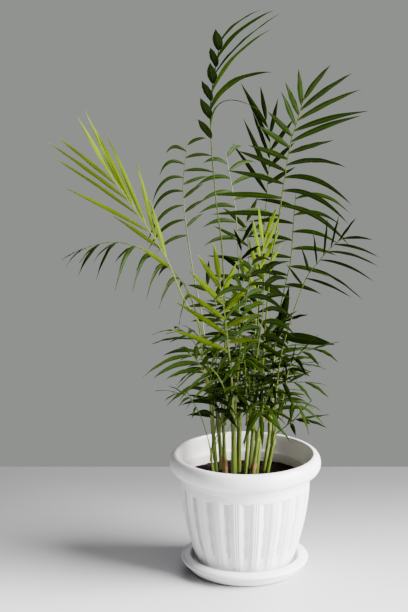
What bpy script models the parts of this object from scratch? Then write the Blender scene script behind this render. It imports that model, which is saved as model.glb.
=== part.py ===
"""A potted parlour palm: a plastic pot on its saucer, soil, short canes and feather-shaped fronds.

Metres, +Z up. The origin is the centre of the saucer's flat underside, and the plant's front faces -Y.
The plant's own sizes are in millimetres and degrees, and are turned into metres where they are used.
"""

import math
import random
from dataclasses import dataclass

import bmesh
import bpy
from mathutils import Matrix, Vector
from mathutils.bvhtree import BVHTree

MM = 0.001
GAP = 0.0003  # between pieces that rest on each other

POT_SIDES = 36
RIM_RADIUS = 0.080
RIM_TOP = 0.1285
MOUTH_RADIUS = 0.0726
COLLAR_BOTTOM = 0.1085
BODY_RADIUS = 0.0692  # just under the collar
WAIST_RADIUS = 0.0640  # halfway down the body
FOOT_RADIUS = 0.0490
POT_WALL = 0.0020
POT_FLOOR = 0.0035
FOOT_RING = 0.0040  # width of the ring that the pot stands on
FOOT_RECESS = 0.0015
BODY_STEPS = 5
COLLAR_BULGE = 0.0095  # depth under the rim at which the collar is widest
COLLAR_SKIRT = 0.0015  # how far the collar's lower edge stands out from the mouth's radius
LIP_BEVEL = 0.0012

SAUCER_RADIUS = 0.0680
SAUCER_FOOT = 0.0550
SAUCER_TOP = 0.0166
SAUCER_LIP = 0.0590  # radius of the rim's inner edge
SAUCER_FLOOR = 0.0035
SAUCER_BASIN = 0.0555  # radius of the flat floor
SAUCER_RIM_FALL = 0.0041  # how far the rim falls from its inner edge to its outer one
SAUCER_UNDERCUT = 0.0028  # how far the wall under the rim is set back
SAUCER_UNDERCUT_DROP = 0.0075

SOIL_TOP = 0.1000
SOIL_DEPTH = 0.050
SOIL_SIDES = 24
SOIL_PLAY = 0.002  # how far the soil has shrunk from the pot's wall
SOIL_MOUND = 0.0025  # how much higher the soil is round the canes

CANE_SIDES = 6
CANE_STEPS = 3
CANE_FLARE = 0.15  # how much thicker a cane is at the soil, as a share of its radius
CANE_SWELL = 0.05  # how much it swells at each old sheath
STALK_SIDES = 3
STALK_RISE = 8.0  # millimetres that a petiole climbs straight up out of its cane
RING_SPACING = 45.0  # millimetres between rings on the bare part of a stalk
KEEL = 1.2  # depth of the stalk's keel, as a share of its radius
BLADE_THICKNESS = 0.7  # millimetres
BLADE_INSET = 0.6  # how far out a blade starts, as a share of the rachis's radius
BLADE_BASE = ((0.01, 1.0), (0.18, 0.8))  # places along a blade's base that it keeps clear, and widths there
SHORT_BLADE_PLACES = ((0.42, 1.0),)  # places where a blade bends, and its width there as a share of the widest
LONG_BLADE_PLACES = ((0.34, 1.0), (0.72, 0.70))
CLEARANCE = 0.5  # millimetres that a leaflet settles clear of the others
LONG_BLADE = 40.0  # a leaflet longer than this bends at two places
RACHIS_TIP = 0.35  # share of the petiole's thickness left at the frond's tip
PETIOLE_OFFSET = 0.72  # place of a petiole on its cane's top, as a share of the cane's radius
LENGTH_VARIES = 0.07  # share by which leaflets differ in length
LEAN_VARIES = 5.0  # degrees
LIFT_VARIES = 8.0
ROLL_VARIES = 16.0

SETTLE_SCALES = (1.0, 0.85, 0.7, 0.55)  # changes that a leaflet tries, to clear its neighbours
SETTLE_LIFTS = (0, 9, -9, 18, -18, 28, -28, 40, -40)
SETTLE_LEANS = (0, 7, -7)
SETTLE_SAGS = (0.0, 0.15, -0.12)

GREEN = (0.045, 0.105, 0.020)
YOUNG_GREEN = (0.200, 0.290, 0.030)
CANE_GREEN = (0.300, 0.340, 0.090)
WHITE_PLASTIC = (0.80, 0.80, 0.82)
DARK_SOIL = (0.020, 0.012, 0.009)


@dataclass(frozen=True)
class Side:
    """Leaflets along one side of a frond. Each tuple runs evenly from the lowest leaflet to the top one."""

    length: tuple  # millimetres
    lean: tuple  # degrees away from the rachis
    lift: tuple = (0, 0)  # degrees out of the frond's plane, towards its upper face
    spread: tuple = (0.0, 0.0)  # how far the blade curves outwards, as a share of its length
    sag: tuple = (0.2, 0.2)  # how far its tip hangs below a straight blade, as a share of its length
    roll: float = 0.0  # degrees that the blade turns about its own midline


@dataclass(frozen=True)
class Frond:
    """One leaf. Its petiole and rachis follow the route, and its leaflets stand on the far part of it."""

    name: str
    cane: str
    route: tuple  # millimetres, from a point above the cane's top to the tip
    bare: float  # share of the stalk's length that has no leaflets
    pairs: int
    across: float  # heading in degrees of the right-hand leaflets: 0 is +X and 90 is +Y
    right: Side
    left: Side
    blade: float = 6.5  # widest width of a leaflet, millimetres
    stalk: float = 0.95  # radius of the petiole, millimetres
    crowd: float = 0.92  # under 1, the leaflets stand closer together towards the tip
    young: bool = False
    seed: int = 1


@dataclass(frozen=True)
class Cane:
    """One seedling's short stem, wrapped in old leaf sheaths."""

    name: str
    base: tuple  # millimetres, at the soil
    top: tuple
    radius: float


CANES = (
    Cane("cane_far_left", (-30, 4), (-37, -1, 189), 1.9),
    Cane("cane_thin_left", (-31, -8), (-36, -11, 122), 1.2),
    Cane("cane_left_back", (-24, 17), (-28, 21, 150), 1.8),
    Cane("cane_left", (-21, 4), (-23, 2, 158), 1.8),
    Cane("cane_left_front", (-12, -9), (-13, -14, 166), 2.4),
    Cane("cane_centre_back", (-7, 15), (-6, 19, 150), 1.9),
    Cane("cane_centre", (0, -1), (3, -2, 158), 1.7),
    Cane("cane_back", (6, 21), (9, 29, 146), 1.8),
    Cane("cane_right", (11, 5), (17, 7, 156), 1.9),
    Cane("cane_right_back", (20, 15), (27, 20, 146), 1.7),
    Cane("cane_far_right", (21, -4), (29, -8, 140), 1.7),
    Cane("cane_front", (6, -14), (12, -21, 148), 1.8),
)

FRONDS = (
    Frond(
        "frond_top", "cane_left",
        ((-22, 3, 262), (-25, 2, 347), (-32, 0, 404), (-37, -5, 471), (-36, -10, 509), (-27, -20, 565)),
        0.735, 6, -12, blade=10.5, stalk=1.1, seed=3,
        right=Side(
            (104, 76, 94, 86, 76, 54), (0, 22, 23, 18, 24, 25),
            spread=(0.56, 0.38, 0.24, 0.24, 0.22, 0.20),
            sag=(1.02, 0.55, 0.17, 0.16, 0.19, 0.18), roll=72,
        ),
        left=Side(
            (31, 30, 29, 28, 27, 26), (30, 28, 27, 26, 26, 24),
            lift=(52, 60), sag=(0.10, 0.10), roll=68,
        ),
    ),
    Frond(
        "frond_upper_right", "cane_right",
        ((19, 10, 238), (26, 10, 329), (34, 5, 386), (43, -10, 455), (50, -15, 482), (56, -22, 506)),
        0.62, 10, -10, blade=5.8, stalk=1.2, crowd=0.80, seed=5,
        right=Side(
            (66, 77, 60, 88, 40, 84, 74, 70, 72, 48), (78, 77, 73, 63, 52, 53, 48, 38, 27, 11),
            spread=(0.0, 0.0, 0.0, 0.0, 0.0, 0.04, 0.08, 0.06, 0.06, 0.1),
            sag=(0.62, 0.60, 0.64, 0.52, 0.05, 0.12, 0.12, 0.10, 0.08, 0.05),
        ),
        left=Side(
            (70, 70, 66, 54, 44, 40, 42, 42, 40, 38), (88, 86, 82, 74, 66, 60, 50, 40, 30, 2),
            lift=(0, 10, 20), sag=(0.14, 0.08, 0.03), roll=-12,
        ),
    ),
    Frond(
        "frond_young_left", "cane_far_left",
        (
            (-45, -5, 236), (-50, -10, 273), (-65, -15, 299),
            (-81, -25, 341), (-104, -35, 382), (-137, -50, 433),
        ),
        0.54, 6, 0, blade=4.6, stalk=1.15, young=True, seed=7,
        right=Side((52, 84, 102, 104, 94, 78), (12, 14, 15, 16, 12, 5), sag=(0.03, 0.0), roll=20),
        left=Side((44, 70, 112, 122, 96, 76), (34, 24, 22, 23, 21, 11), sag=(0.03, 0.06, 0.02), roll=14),
    ),
    Frond(
        "frond_arching_left", "cane_left_back",
        (
            (-45, 8, 251), (-53, 4, 283), (-62, 2, 306), (-79, 0, 328),
            (-107, -10, 350), (-135, -20, 359), (-164, -30, 355), (-179, -35, 349),
        ),
        0.48, 8, 90, blade=4.6, stalk=1.0, seed=9,
        right=Side((36, 42, 40, 16), (62, 56, 50, 44), sag=(0.75, 0.9, 0.8, 0.2)),
        left=Side((42, 52, 46, 18), (50, 46, 42, 26), sag=(0.95, 1.0, 0.9, 0.4)),
    ),
    Frond(
        "frond_back_left", "cane_left_back",
        ((-40, 45, 215), (-46, 62, 262), (-54, 74, 300), (-64, 90, 362), (-66, 96, 404), (-61, 96, 446)),
        0.66, 7, 22, blade=3.8, stalk=1.0, seed=11,
        right=Side((30, 34, 32, 36, 26), (48, 52, 58, 72, 44), sag=(0.25, 0.2, 0.15, 0.35, 0.4)),
        left=Side(
            (44, 54, 56, 52, 32), (84, 84, 78, 70, 50),
            spread=(-0.15, -0.25, -0.3, -0.2), sag=(0.45, 0.75, 0.85, 0.75, 0.6),
        ),
    ),
    Frond(
        "frond_back_right", "cane_back",
        ((12, 38, 231), (18, 60, 324), (24, 76, 400), (27, 84, 449), (21, 90, 474)),
        0.74, 5, -28, blade=5.2, stalk=1.0, seed=13,
        right=Side((36, 44, 44, 36), (62, 44, 28, 6), sag=(0.08, 0.03)),
        left=Side((74, 66, 58, 54), (38, 32, 26, 8), sag=(0.04, 0.0)),
    ),
    Frond(
        "frond_right", "cane_right_back",
        ((30, 22, 204), (33, 25, 257), (41, 32, 298), (48, 38, 329), (50, 44, 360), (53, 52, 396)),
        0.56, 6, -18, blade=4.6, stalk=1.1, seed=15,
        right=Side((36, 48, 62), (84, 76, 64), sag=(0.25, 0.35, 0.7)),
        left=Side((38, 54, 44), (84, 80, 70), sag=(0.2, 0.25, 0.15)),
    ),
    Frond(
        "frond_far_right", "cane_far_right",
        ((31, -10, 189), (37, -20, 246), (57, -35, 318), (71, -45, 343), (84, -50, 360), (96, -55, 371)),
        0.70, 6, -30, blade=2.9, stalk=0.95, crowd=0.80, seed=17,
        right=Side((46, 62, 54, 36), (62, 58, 44, 20), sag=(0.2, 0.35, 0.25)),
        left=Side((28, 34, 38, 34), (58, 46, 34, 10), sag=(0.0, 0.05)),
    ),
    Frond(
        "frond_middle", "cane_centre_back",
        ((-6, 25, 256), (-8, 30, 341), (-11, 35, 384), (-15, 40, 408), (-21, 47, 440)),
        0.68, 6, 30, blade=4.8, seed=19,
        right=Side((50, 62, 36), (80, 72, 46), sag=(0.35, 0.45)),
        left=Side((42, 48, 32), (66, 70, 46), sag=(0.45, 0.6)),
    ),
    Frond(
        "frond_young_front", "cane_left_front",
        ((-15, -25, 215), (-19, -35, 255), (-22, -45, 284), (-26, -50, 312), (-29, -55, 330)),
        0.46, 5, 0, blade=5.8, stalk=1.2, young=True, seed=21,
        right=Side((36, 42, 46), (74, 52, 6), lift=(14, 0), sag=(0.12, 0.0)),
        left=Side((74, 68, 60, 48, 44), (54, 50, 44, 34, 12), sag=(0.06, 0.0)),
    ),
    Frond(
        "frond_low_left", "cane_far_left",
        ((-42, -22, 212), (-46, -34, 230), (-53, -42, 243), (-61, -50, 251)),
        0.34, 4, 20, blade=5.8, stalk=1.1, seed=23,
        right=Side((32, 36, 34, 32), (50, 42, 30, 16), sag=(0.4, 0.4)),
        left=Side((42, 52, 56, 56), (60, 44, 34, 26), sag=(0.38, 0.5, 0.45)),
    ),
    Frond(
        "frond_thin_left", "cane_thin_left",
        ((-40, -14, 150), (-48, -18, 176), (-60, -22, 196), (-77, -26, 203)),
        0.62, 3, 80, blade=2.6, stalk=0.8, seed=25,
        right=Side((26, 28, 22), (56, 44, 24), sag=(0.3, 0.3)),
        left=Side((28, 28, 22), (62, 50, 24), sag=(0.4, 0.35)),
    ),
    Frond(
        "frond_left", "cane_left",
        ((-27, 8, 195), (-34, 12, 232), (-48, 14, 250), (-64, 16, 255)),
        0.52, 4, 80, blade=3.6, stalk=0.8, seed=27,
        right=Side((34, 30), (62, 30), sag=(0.3, 0.3)),
        left=Side((34, 30), (62, 30), sag=(0.4, 0.3)),
    ),
    Frond(
        "frond_low_right", "cane_far_right",
        ((38, -16, 190), (45, -25, 230), (56, -32, 246), (72, -38, 252)),
        0.58, 4, -80, blade=4.2, seed=29,
        right=Side((34, 40, 34), (64, 50, 24), sag=(0.55, 0.4)),
        left=Side((30, 34, 34), (64, 50, 24), sag=(0.2, 0.1)),
    ),
    Frond(
        "frond_front_right", "cane_front",
        ((19, -32, 190), (26, -42, 212), (44, -52, 220), (62, -58, 222)),
        0.42, 5, -90, blade=4.6, seed=31,
        right=Side((36, 40, 30), (66, 56, 24), sag=(0.5, 0.4)),
        left=Side((30, 34, 28), (66, 56, 24), sag=(0.3, 0.2)),
    ),
    Frond(
        "frond_rim_right", "cane_far_right",
        ((40, -14, 160), (52, -22, 172), (62, -27, 174)),
        0.50, 3, -80, blade=4.4, stalk=0.8, seed=33,
        right=Side((34, 32), (60, 20), sag=(0.25, 0.1)),
        left=Side((32, 32), (60, 20), sag=(0.1, 0.05)),
    ),
    Frond(
        "frond_bifid_right", "cane_right_back",
        ((29, 16, 190), (30, 14, 226), (33, 12, 250), (40, 10, 254)),
        0.88, 1, -90, blade=11.5, stalk=1.05, seed=36,
        right=Side((62, 62), (14, 14), sag=(0.06, 0.06), roll=50),
        left=Side((60, 60), (20, 20), sag=(0.0, 0.0), roll=-50),
    ),
    Frond(
        "frond_front_left", "cane_left_front",
        ((-22, -32, 205), (-30, -46, 226), (-40, -62, 240), (-48, -80, 244)),
        0.46, 4, -140, blade=4.6, seed=37,
        right=Side((40, 44, 36), (66, 54, 26), sag=(0.45, 0.4)),
        left=Side((40, 44, 36), (66, 54, 26), sag=(0.45, 0.4)),
    ),
    Frond(
        "frond_front", "cane_centre",
        ((0, -22, 205), (-2, -44, 236), (-4, -68, 252), (-6, -94, 254)),
        0.46, 5, 180, blade=4.8, seed=39,
        right=Side((40, 44, 34), (70, 56, 26), sag=(0.4, 0.35)),
        left=Side((40, 44, 34), (70, 56, 26), sag=(0.4, 0.35)),
    ),
    Frond(
        "frond_centre_front", "cane_centre",
        ((10, -14, 230), (15, -24, 270), (17, -32, 300), (17, -38, 334)),
        0.52, 6, 16, blade=6.4, stalk=1.05, seed=41,
        right=Side((32, 36, 34), (70, 62, 30), lift=(20, 20), sag=(0.75, 0.5)),
        left=Side((38, 42, 36), (74, 64, 30), lift=(20, 20), sag=(0.8, 0.5)),
    ),
    Frond(
        "frond_spear", "cane_back",
        ((10, 24, 230), (12, 16, 290), (15, 10, 330), (20, 6, 362)),
        0.68, 4, 20, blade=4.6, young=True, seed=43,
        right=Side((50, 46), (26, 10), sag=(0.02, 0.0)),
        left=Side((54, 46), (26, 8), sag=(0.02, 0.0)),
    ),
    Frond(
        "frond_hanging_front", "cane_front",
        ((16, -36, 180), (17, -50, 197), (17, -64, 202), (15, -78, 197)),
        0.42, 3, 180, blade=4.6, seed=45,
        right=Side((40, 36), (60, 24), sag=(0.55, 0.5)),
        left=Side((38, 34), (66, 30), sag=(0.5, 0.4)),
    ),
    Frond(
        "frond_back", "cane_centre_back",
        ((-8, 40, 210), (-10, 60, 246), (-12, 84, 268), (-14, 112, 274)),
        0.42, 5, 0, blade=4.8, seed=47,
        right=Side((44, 50, 36), (70, 56, 26), sag=(0.4, 0.35)),
        left=Side((44, 50, 36), (70, 56, 26), sag=(0.4, 0.35)),
    ),
    Frond(
        "frond_right_behind", "cane_right_back",
        ((34, 34, 184), (38, 50, 208), (44, 70, 222), (52, 92, 228)),
        0.42, 5, -35, blade=4.6, seed=49,
        right=Side((38, 44, 34), (70, 56, 26), sag=(0.4, 0.35)),
        left=Side((38, 44, 34), (70, 56, 26), sag=(0.4, 0.35)),
    ),
    Frond(
        "frond_left_behind", "cane_left_back",
        ((-38, 34, 196), (-48, 48, 224), (-60, 66, 240), (-74, 84, 244)),
        0.44, 4, 40, blade=4.6, seed=51,
        right=Side((40, 44, 34), (70, 56, 26), sag=(0.4, 0.35)),
        left=Side((40, 44, 34), (70, 56, 26), sag=(0.4, 0.35)),
    ),
    Frond(
        "frond_centre_back", "cane_back",
        ((8, 42, 240), (6, 56, 290), (4, 68, 330), (2, 84, 366)),
        0.58, 5, 0, blade=4.8, seed=53,
        right=Side((44, 50, 36), (80, 66, 26), sag=(0.2, 0.15)),
        left=Side((44, 50, 36), (80, 66, 26), sag=(0.2, 0.15)),
    ),
    Frond(
        "frond_high_front", "cane_left_front",
        ((-8, -30, 230), (-4, -46, 280), (0, -60, 318), (4, -78, 350)),
        0.62, 5, 0, blade=6.2, seed=55,
        right=Side((42, 46, 36), (68, 56, 26), sag=(0.8, 0.55)),
        left=Side((42, 46, 36), (68, 56, 26), sag=(0.85, 0.6)),
    ),
    Frond(
        "frond_low_centre", "cane_front",
        ((6, -30, 172), (4, -46, 190), (8, -64, 196), (16, -80, 190)),
        0.40, 4, -160, blade=4.6, seed=59,
        right=Side((38, 40, 34), (66, 54, 26), sag=(0.55, 0.5)),
        left=Side((38, 40, 34), (66, 54, 26), sag=(0.55, 0.5)),
    ),
    Frond(
        "frond_low_front_right", "cane_right",
        ((26, -6, 176), (34, -18, 190), (46, -32, 194), (56, -44, 190)),
        0.44, 4, -130, blade=4.4, seed=61,
        right=Side((34, 36, 30), (66, 54, 24), sag=(0.5, 0.4)),
        left=Side((34, 36, 30), (66, 54, 24), sag=(0.5, 0.4)),
    ),
    Frond(
        "frond_low_back_right", "cane_back",
        ((18, 38, 178), (26, 52, 200), (36, 70, 212), (44, 88, 212)),
        0.42, 4, -30, blade=4.8, seed=63,
        right=Side((38, 42, 34), (66, 54, 26), sag=(0.45, 0.4)),
        left=Side((38, 42, 34), (66, 54, 26), sag=(0.45, 0.4)),
    ),
    Frond(
        "frond_low_back_left", "cane_centre_back",
        ((-14, 32, 184), (-22, 48, 208), (-32, 66, 220), (-44, 84, 220)),
        0.42, 4, 30, blade=4.8, seed=65,
        right=Side((38, 42, 34), (66, 54, 26), sag=(0.45, 0.4)),
        left=Side((38, 42, 34), (66, 54, 26), sag=(0.45, 0.4)),
    ),
    Frond(
        "frond_dark_left", "cane_centre_back",
        ((-14, 28, 214), (-24, 30, 256), (-32, 32, 286), (-42, 34, 306)),
        0.58, 4, 10, blade=4.6, seed=67,
        right=Side((30, 34, 28), (70, 60, 30), sag=(0.1, 0.1)),
        left=Side((34, 34, 28), (76, 66, 30), sag=(0.2, 0.2)),
    ),
    Frond(
        "frond_short_right", "cane_right",
        ((26, 2, 186), (34, -2, 208), (46, -6, 222), (60, -9, 228)),
        0.44, 4, -90, blade=4.4, seed=57,
        right=Side((34, 38, 32), (68, 54, 24), sag=(0.4, 0.3)),
        left=Side((34, 38, 32), (68, 54, 24), sag=(0.4, 0.3)),
    ),
)


def ramp(values, share):
    """The value this share of the way along a row of evenly spaced values."""
    place = share * (len(values) - 1)
    index = min(int(place), len(values) - 2)
    return values[index] + (values[index + 1] - values[index]) * (place - index)


def heading(degrees):
    """The level direction at this heading."""
    return Vector((math.cos(math.radians(degrees)), math.sin(math.radians(degrees)), 0.0))


class Track:
    """A smooth curve through a few points, read by the share of its length."""

    STEPS = 12

    def __init__(self, points):
        ends = [points[0] * 2 - points[1], *points, points[-1] * 2 - points[-2]]
        self.points = [points[0]]
        for p0, p1, p2, p3 in zip(ends, ends[1:], ends[2:], ends[3:]):
            for step in range(1, self.STEPS + 1):
                self.points.append(self.between(p0, p1, p2, p3, step / self.STEPS))
        self.lengths = [0.0]
        for start, end in zip(self.points, self.points[1:]):
            self.lengths.append(self.lengths[-1] + (end - start).length)

    @staticmethod
    def between(p0, p1, p2, p3, t):
        """The Catmull-Rom curve from p1 to p2."""
        return 0.5 * (
            p1 * 2 + (p2 - p0) * t + (p0 * 2 - p1 * 5 + p2 * 4 - p3) * t * t
            + (p1 * 3 - p0 - p2 * 3 + p3) * t * t * t
        )

    def at(self, share):
        """The point and the direction at this share of the length."""
        target = share * self.lengths[-1]
        index = 1
        while index < len(self.lengths) - 1 and self.lengths[index] < target:
            index += 1
        start, end = self.points[index - 1], self.points[index]
        part = (target - self.lengths[index - 1]) / (self.lengths[index] - self.lengths[index - 1])
        return start.lerp(end, part), (end - start).normalized()


def petiole_starts():
    """Where each frond's petiole leaves its cane: evenly round the top, nearest to its own heading."""
    starts = {}
    for cane in CANES:
        top = Vector(cane.top)
        own = [frond for frond in FRONDS if frond.cane == cane.name]
        first_steps = {frond.name: Vector(frond.route[0]) - top for frond in own}
        angles = {name: math.atan2(step.y, step.x) for name, step in first_steps.items()}
        own.sort(key=lambda frond: angles[frond.name])
        turn = math.tau / max(len(own), 1)
        leftover = [angles[frond.name] - index * turn for index, frond in enumerate(own)]
        first = math.atan2(sum(map(math.sin, leftover)), sum(map(math.cos, leftover)))
        reach = cane.radius * PETIOLE_OFFSET if len(own) > 1 else 0.0
        for index, frond in enumerate(own):
            angle = first + index * turn
            offset = Vector((math.cos(angle) * reach, math.sin(angle) * reach, GAP / MM))
            starts[frond.name] = top + offset
    return starts


class Stalk:
    """A frond's petiole and rachis, with the frame that its leaflets are placed in."""

    def __init__(self, frond, start):
        self.frond = frond
        rise = Vector((start.x, start.y, start.z + STALK_RISE))
        self.track = Track([start, rise, *map(Vector, frond.route)])
        bare_rings = max(3, round(self.track.lengths[-1] * frond.bare / RING_SPACING))
        self.shares = [frond.bare * index / bare_rings for index in range(bare_rings)]
        self.first_leafy = len(self.shares)
        slots = 2 * frond.pairs
        leafy = 1.0 - frond.bare
        self.shares += [frond.bare + leafy * (index / slots) ** frond.crowd for index in range(slots + 1)]

    def frame(self, share):
        """The point, the direction, the right-hand side and the upper face at this share of the stalk."""
        point, along = self.track.at(share)
        side = heading(self.frond.across)
        side = (side - along * side.dot(along)).normalized()
        return point, along, side, side.cross(along)

    def radius(self, share):
        return self.frond.stalk * (1.0 - (1.0 - RACHIS_TIP) * share)

    def ring(self, share):
        """The stalk's three corners: left, right and the keel under it."""
        point, _, side, face = self.frame(share)
        radius = self.radius(share)
        return [point - side * radius, point + side * radius, point - face * radius * KEEL]

    def slot(self, index):
        """The share halfway along a leaflet's base."""
        low = self.first_leafy + index
        return 0.5 * (self.shares[low] + self.shares[low + 1])


def blade_path(stalk, slot, side, right, changes, chance):
    """A leaflet's length, and a function that gives its middle, width direction and normal along it."""
    share = slot / max(2 * stalk.frond.pairs - 1, 1)
    extra_lean, extra_lift, extra_sag, scale = changes
    point, along, sideways, face = stalk.frame(stalk.slot(slot))
    sign = 1.0 if right else -1.0
    length = ramp(side.length, share) * scale * (1.0 + LENGTH_VARIES * chance[0])
    lean = math.radians(ramp(side.lean, share) + extra_lean + LEAN_VARIES * chance[1])
    lift = math.radians(ramp(side.lift, share) + extra_lift + LIFT_VARIES * chance[2])
    roll = math.radians(side.roll + ROLL_VARIES * chance[3])
    outward = sideways * sign * math.cos(lift) + face * math.sin(lift)
    upper = face * math.cos(lift) - sideways * sign * math.sin(lift)
    start = along * math.cos(lean) + outward * math.sin(lean)
    bend = outward * ramp(side.spread, share) - Vector((0, 0, ramp(side.sag, share) + extra_sag))
    origin = point + outward * stalk.radius(stalk.slot(slot)) * BLADE_INSET

    def section(at):
        middle = origin + (start * at + bend * at * at) * length
        tangent = (start + bend * 2.0 * at).normalized()
        normal = (upper - tangent * upper.dot(tangent)).normalized()
        wide = normal.cross(tangent) * sign
        turned = Matrix.Rotation(roll * sign, 3, tangent)
        return middle, turned @ wide, turned @ normal

    return length, section


def blade_loops(length, section, width, thickness, places):
    """The blade's four corners at each place along it: one edge up and down, then the other down and up."""
    loops = []
    for at, share in places:
        middle, wide, normal = section(at)
        half = wide * (width * share * 0.5)
        rise = normal * (thickness * 0.5)
        near, far = middle - half, middle + half
        loops.append([near + rise, near - rise, far - rise, far + rise])
    return loops


def skin_faces(loops):
    """The faces between loops of four corners, and the four that close on the last point."""
    faces = []
    for index in range(len(loops) - 1):
        low = index * 4
        for corner in range(4):
            after = (corner + 1) % 4
            faces.append((low + corner, low + after, low + 4 + after, low + 4 + corner))
    low = (len(loops) - 1) * 4
    tip = len(loops) * 4
    faces += [(low + corner, low + (corner + 1) % 4, tip) for corner in range(4)]
    return faces


class Obstacle:
    """A closed shape that later leaflets keep clear of: those of its own frond beyond their bases only."""

    def __init__(self, owner, points, faces, outer=None):
        self.owner = owner
        self.tree = BVHTree.FromPolygons(points, faces)
        self.outer = BVHTree.FromPolygons(outer or points, faces)
        self.low = [min(point[axis] for point in points) for axis in range(3)]
        self.high = [max(point[axis] for point in points) for axis in range(3)]

    def touches(self, other):
        if not all(self.low[i] <= other.high[i] and other.low[i] <= self.high[i] for i in range(3)):
            return False
        if self.owner == other.owner:
            return bool(self.outer.overlap(other.outer))
        return bool(self.tree.overlap(other.tree))


def settle_changes():
    """Small changes of a leaflet's set, the slightest first: lean, lift, sag and share of its length."""
    for scale in SETTLE_SCALES:
        for lift in SETTLE_LIFTS:
            for lean in SETTLE_LEANS:
                for sag in SETTLE_SAGS:
                    yield lean, lift, sag, scale


def blade_obstacle(owner, loops, tip, base, outer_base):
    """The obstacle that a blade makes: from its base for other fronds, and from further out for its own."""
    beyond = [corner for loop in loops for corner in loop] + [tip]
    faces = skin_faces([base, *loops]) + [(3, 2, 1, 0)]
    return Obstacle(owner, base + beyond, faces, outer_base + beyond)


def settled_blade(stalk, slot, obstacles, rng):
    """The first set of a leaflet that clears everything placed before it, or None."""
    frond = stalk.frond
    right = slot % 2 == 1
    side = frond.right if right else frond.left
    chance = [rng.uniform(-1.0, 1.0) for _ in range(4)]
    loose = BLADE_THICKNESS + 2 * CLEARANCE
    for changes in settle_changes():
        length, section = blade_path(stalk, slot, side, right, changes, chance)
        places = LONG_BLADE_PLACES if length > LONG_BLADE else SHORT_BLADE_PLACES
        loops = blade_loops(length, section, frond.blade, BLADE_THICKNESS, places)
        base, outer_base, *wide = blade_loops(length, section, frond.blade, loose, (*BLADE_BASE, *places))
        tip = section(1.0)[0]
        trial = blade_obstacle(frond.name, wide, tip, base, outer_base)
        if not any(trial.touches(other) for other in obstacles):
            return loops, tip, trial
    return None


def add_quads(bm, rows):
    """Faces between rings of the same number of vertices."""
    count = len(rows[0])
    for lower, upper in zip(rows, rows[1:]):
        for index in range(count):
            after = (index + 1) % count
            bm.faces.new((lower[index], lower[after], upper[after], upper[index]))


def place_vertices(bm, points):
    return [bm.verts.new(point * MM) for point in points]


def tube_obstacle(owner, rings):
    """The obstacle that a tube of these rings makes."""
    count = len(rings[0])
    faces = []
    for low in range(0, (len(rings) - 1) * count, count):
        for corner in range(count):
            after = (corner + 1) % count
            faces.append((low + corner, low + after, low + count + after, low + count + corner))
    return Obstacle(owner, [corner for ring in rings for corner in ring], faces)


def frond_mesh(stalk, blades):
    """The frond as one closed skin: the stalk's faces open where the leaflets grow out of them."""
    bm = bmesh.new()
    rings = [place_vertices(bm, stalk.ring(share)) for share in stalk.shares]
    for index, (low, high) in enumerate(zip(rings, rings[1:])):
        slot = index - stalk.first_leafy
        bm.faces.new((low[0], low[1], high[1], high[0]))
        bases = {1: (low[1], low[2], high[2], high[1]), 0: (low[0], low[2], high[2], high[0])}
        for parity, base in bases.items():
            if slot >= 0 and slot % 2 == parity and blades.get(slot):
                loops, tip, _ = blades[slot]
                rows = [base, *(place_vertices(bm, loop) for loop in loops)]
                add_quads(bm, rows)
                point = bm.verts.new(tip * MM)
                for corner in range(4):
                    bm.faces.new((rows[-1][corner], rows[-1][(corner + 1) % 4], point))
            else:
                bm.faces.new(base)
    bm.faces.new(rings[0])
    bm.faces.new(rings[-1])
    bmesh.ops.recalc_face_normals(bm, faces=bm.faces)
    return bm


def finish_object(name, bm, material, sharp_angle=math.radians(35)):
    """Makes the object from its bmesh, shaded smooth up to this angle."""
    mesh = bpy.data.meshes.new(name)
    bm.to_mesh(mesh)
    bm.free()
    mesh.shade_smooth()
    mesh.set_sharp_from_angle(angle=sharp_angle)
    obj = bpy.data.objects.new(name, mesh)
    obj.data.materials.append(material)
    bpy.context.scene.collection.objects.link(obj)
    return obj


def make_material(name, colour, roughness):
    material = bpy.data.materials.new(name)
    material.use_nodes = True
    shader = material.node_tree.nodes["Principled BSDF"]
    shader.inputs["Base Color"].default_value = (*colour, 1.0)
    shader.inputs["Roughness"].default_value = roughness
    shader.inputs["Metallic"].default_value = 0.0
    return material


def turned(name, profile, sides, material):
    """A round solid, from a profile that starts and ends on the Z axis and runs down its outer side."""
    mesh = bpy.data.meshes.new(name)
    edges = [(index, index + 1) for index in range(len(profile) - 1)]
    mesh.from_pydata([(radius, 0.0, height) for radius, height in profile], edges, [])
    obj = bpy.data.objects.new(name, mesh)
    bpy.context.scene.collection.objects.link(obj)
    screw = obj.modifiers.new("Turn", "SCREW")
    screw.steps = sides
    screw.render_steps = sides
    screw.use_merge_vertices = True
    screw.merge_threshold = 0.00001
    screw.use_smooth_shade = True
    obj.data.materials.append(material)
    return obj


def arc(centre, radii, start, end, steps):
    """Points of a quarter or half ellipse, from one angle in degrees to another."""
    angles = [math.radians(start + (end - start) * step / steps) for step in range(steps + 1)]
    return [(centre[0] + radii[0] * math.cos(a), centre[1] + radii[1] * math.sin(a)) for a in angles]


POT_BOTTOM = SAUCER_FLOOR + GAP


def body_radius(height):
    """The pot's outer radius: straight under the collar, then drawn in to the foot."""
    share = (height - POT_BOTTOM) / (COLLAR_BOTTOM - POT_BOTTOM)
    bow = 4.0 * share * (1.0 - share) * (WAIST_RADIUS - 0.5 * (BODY_RADIUS + FOOT_RADIUS))
    return FOOT_RADIUS + (BODY_RADIUS - FOOT_RADIUS) * share + bow


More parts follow.
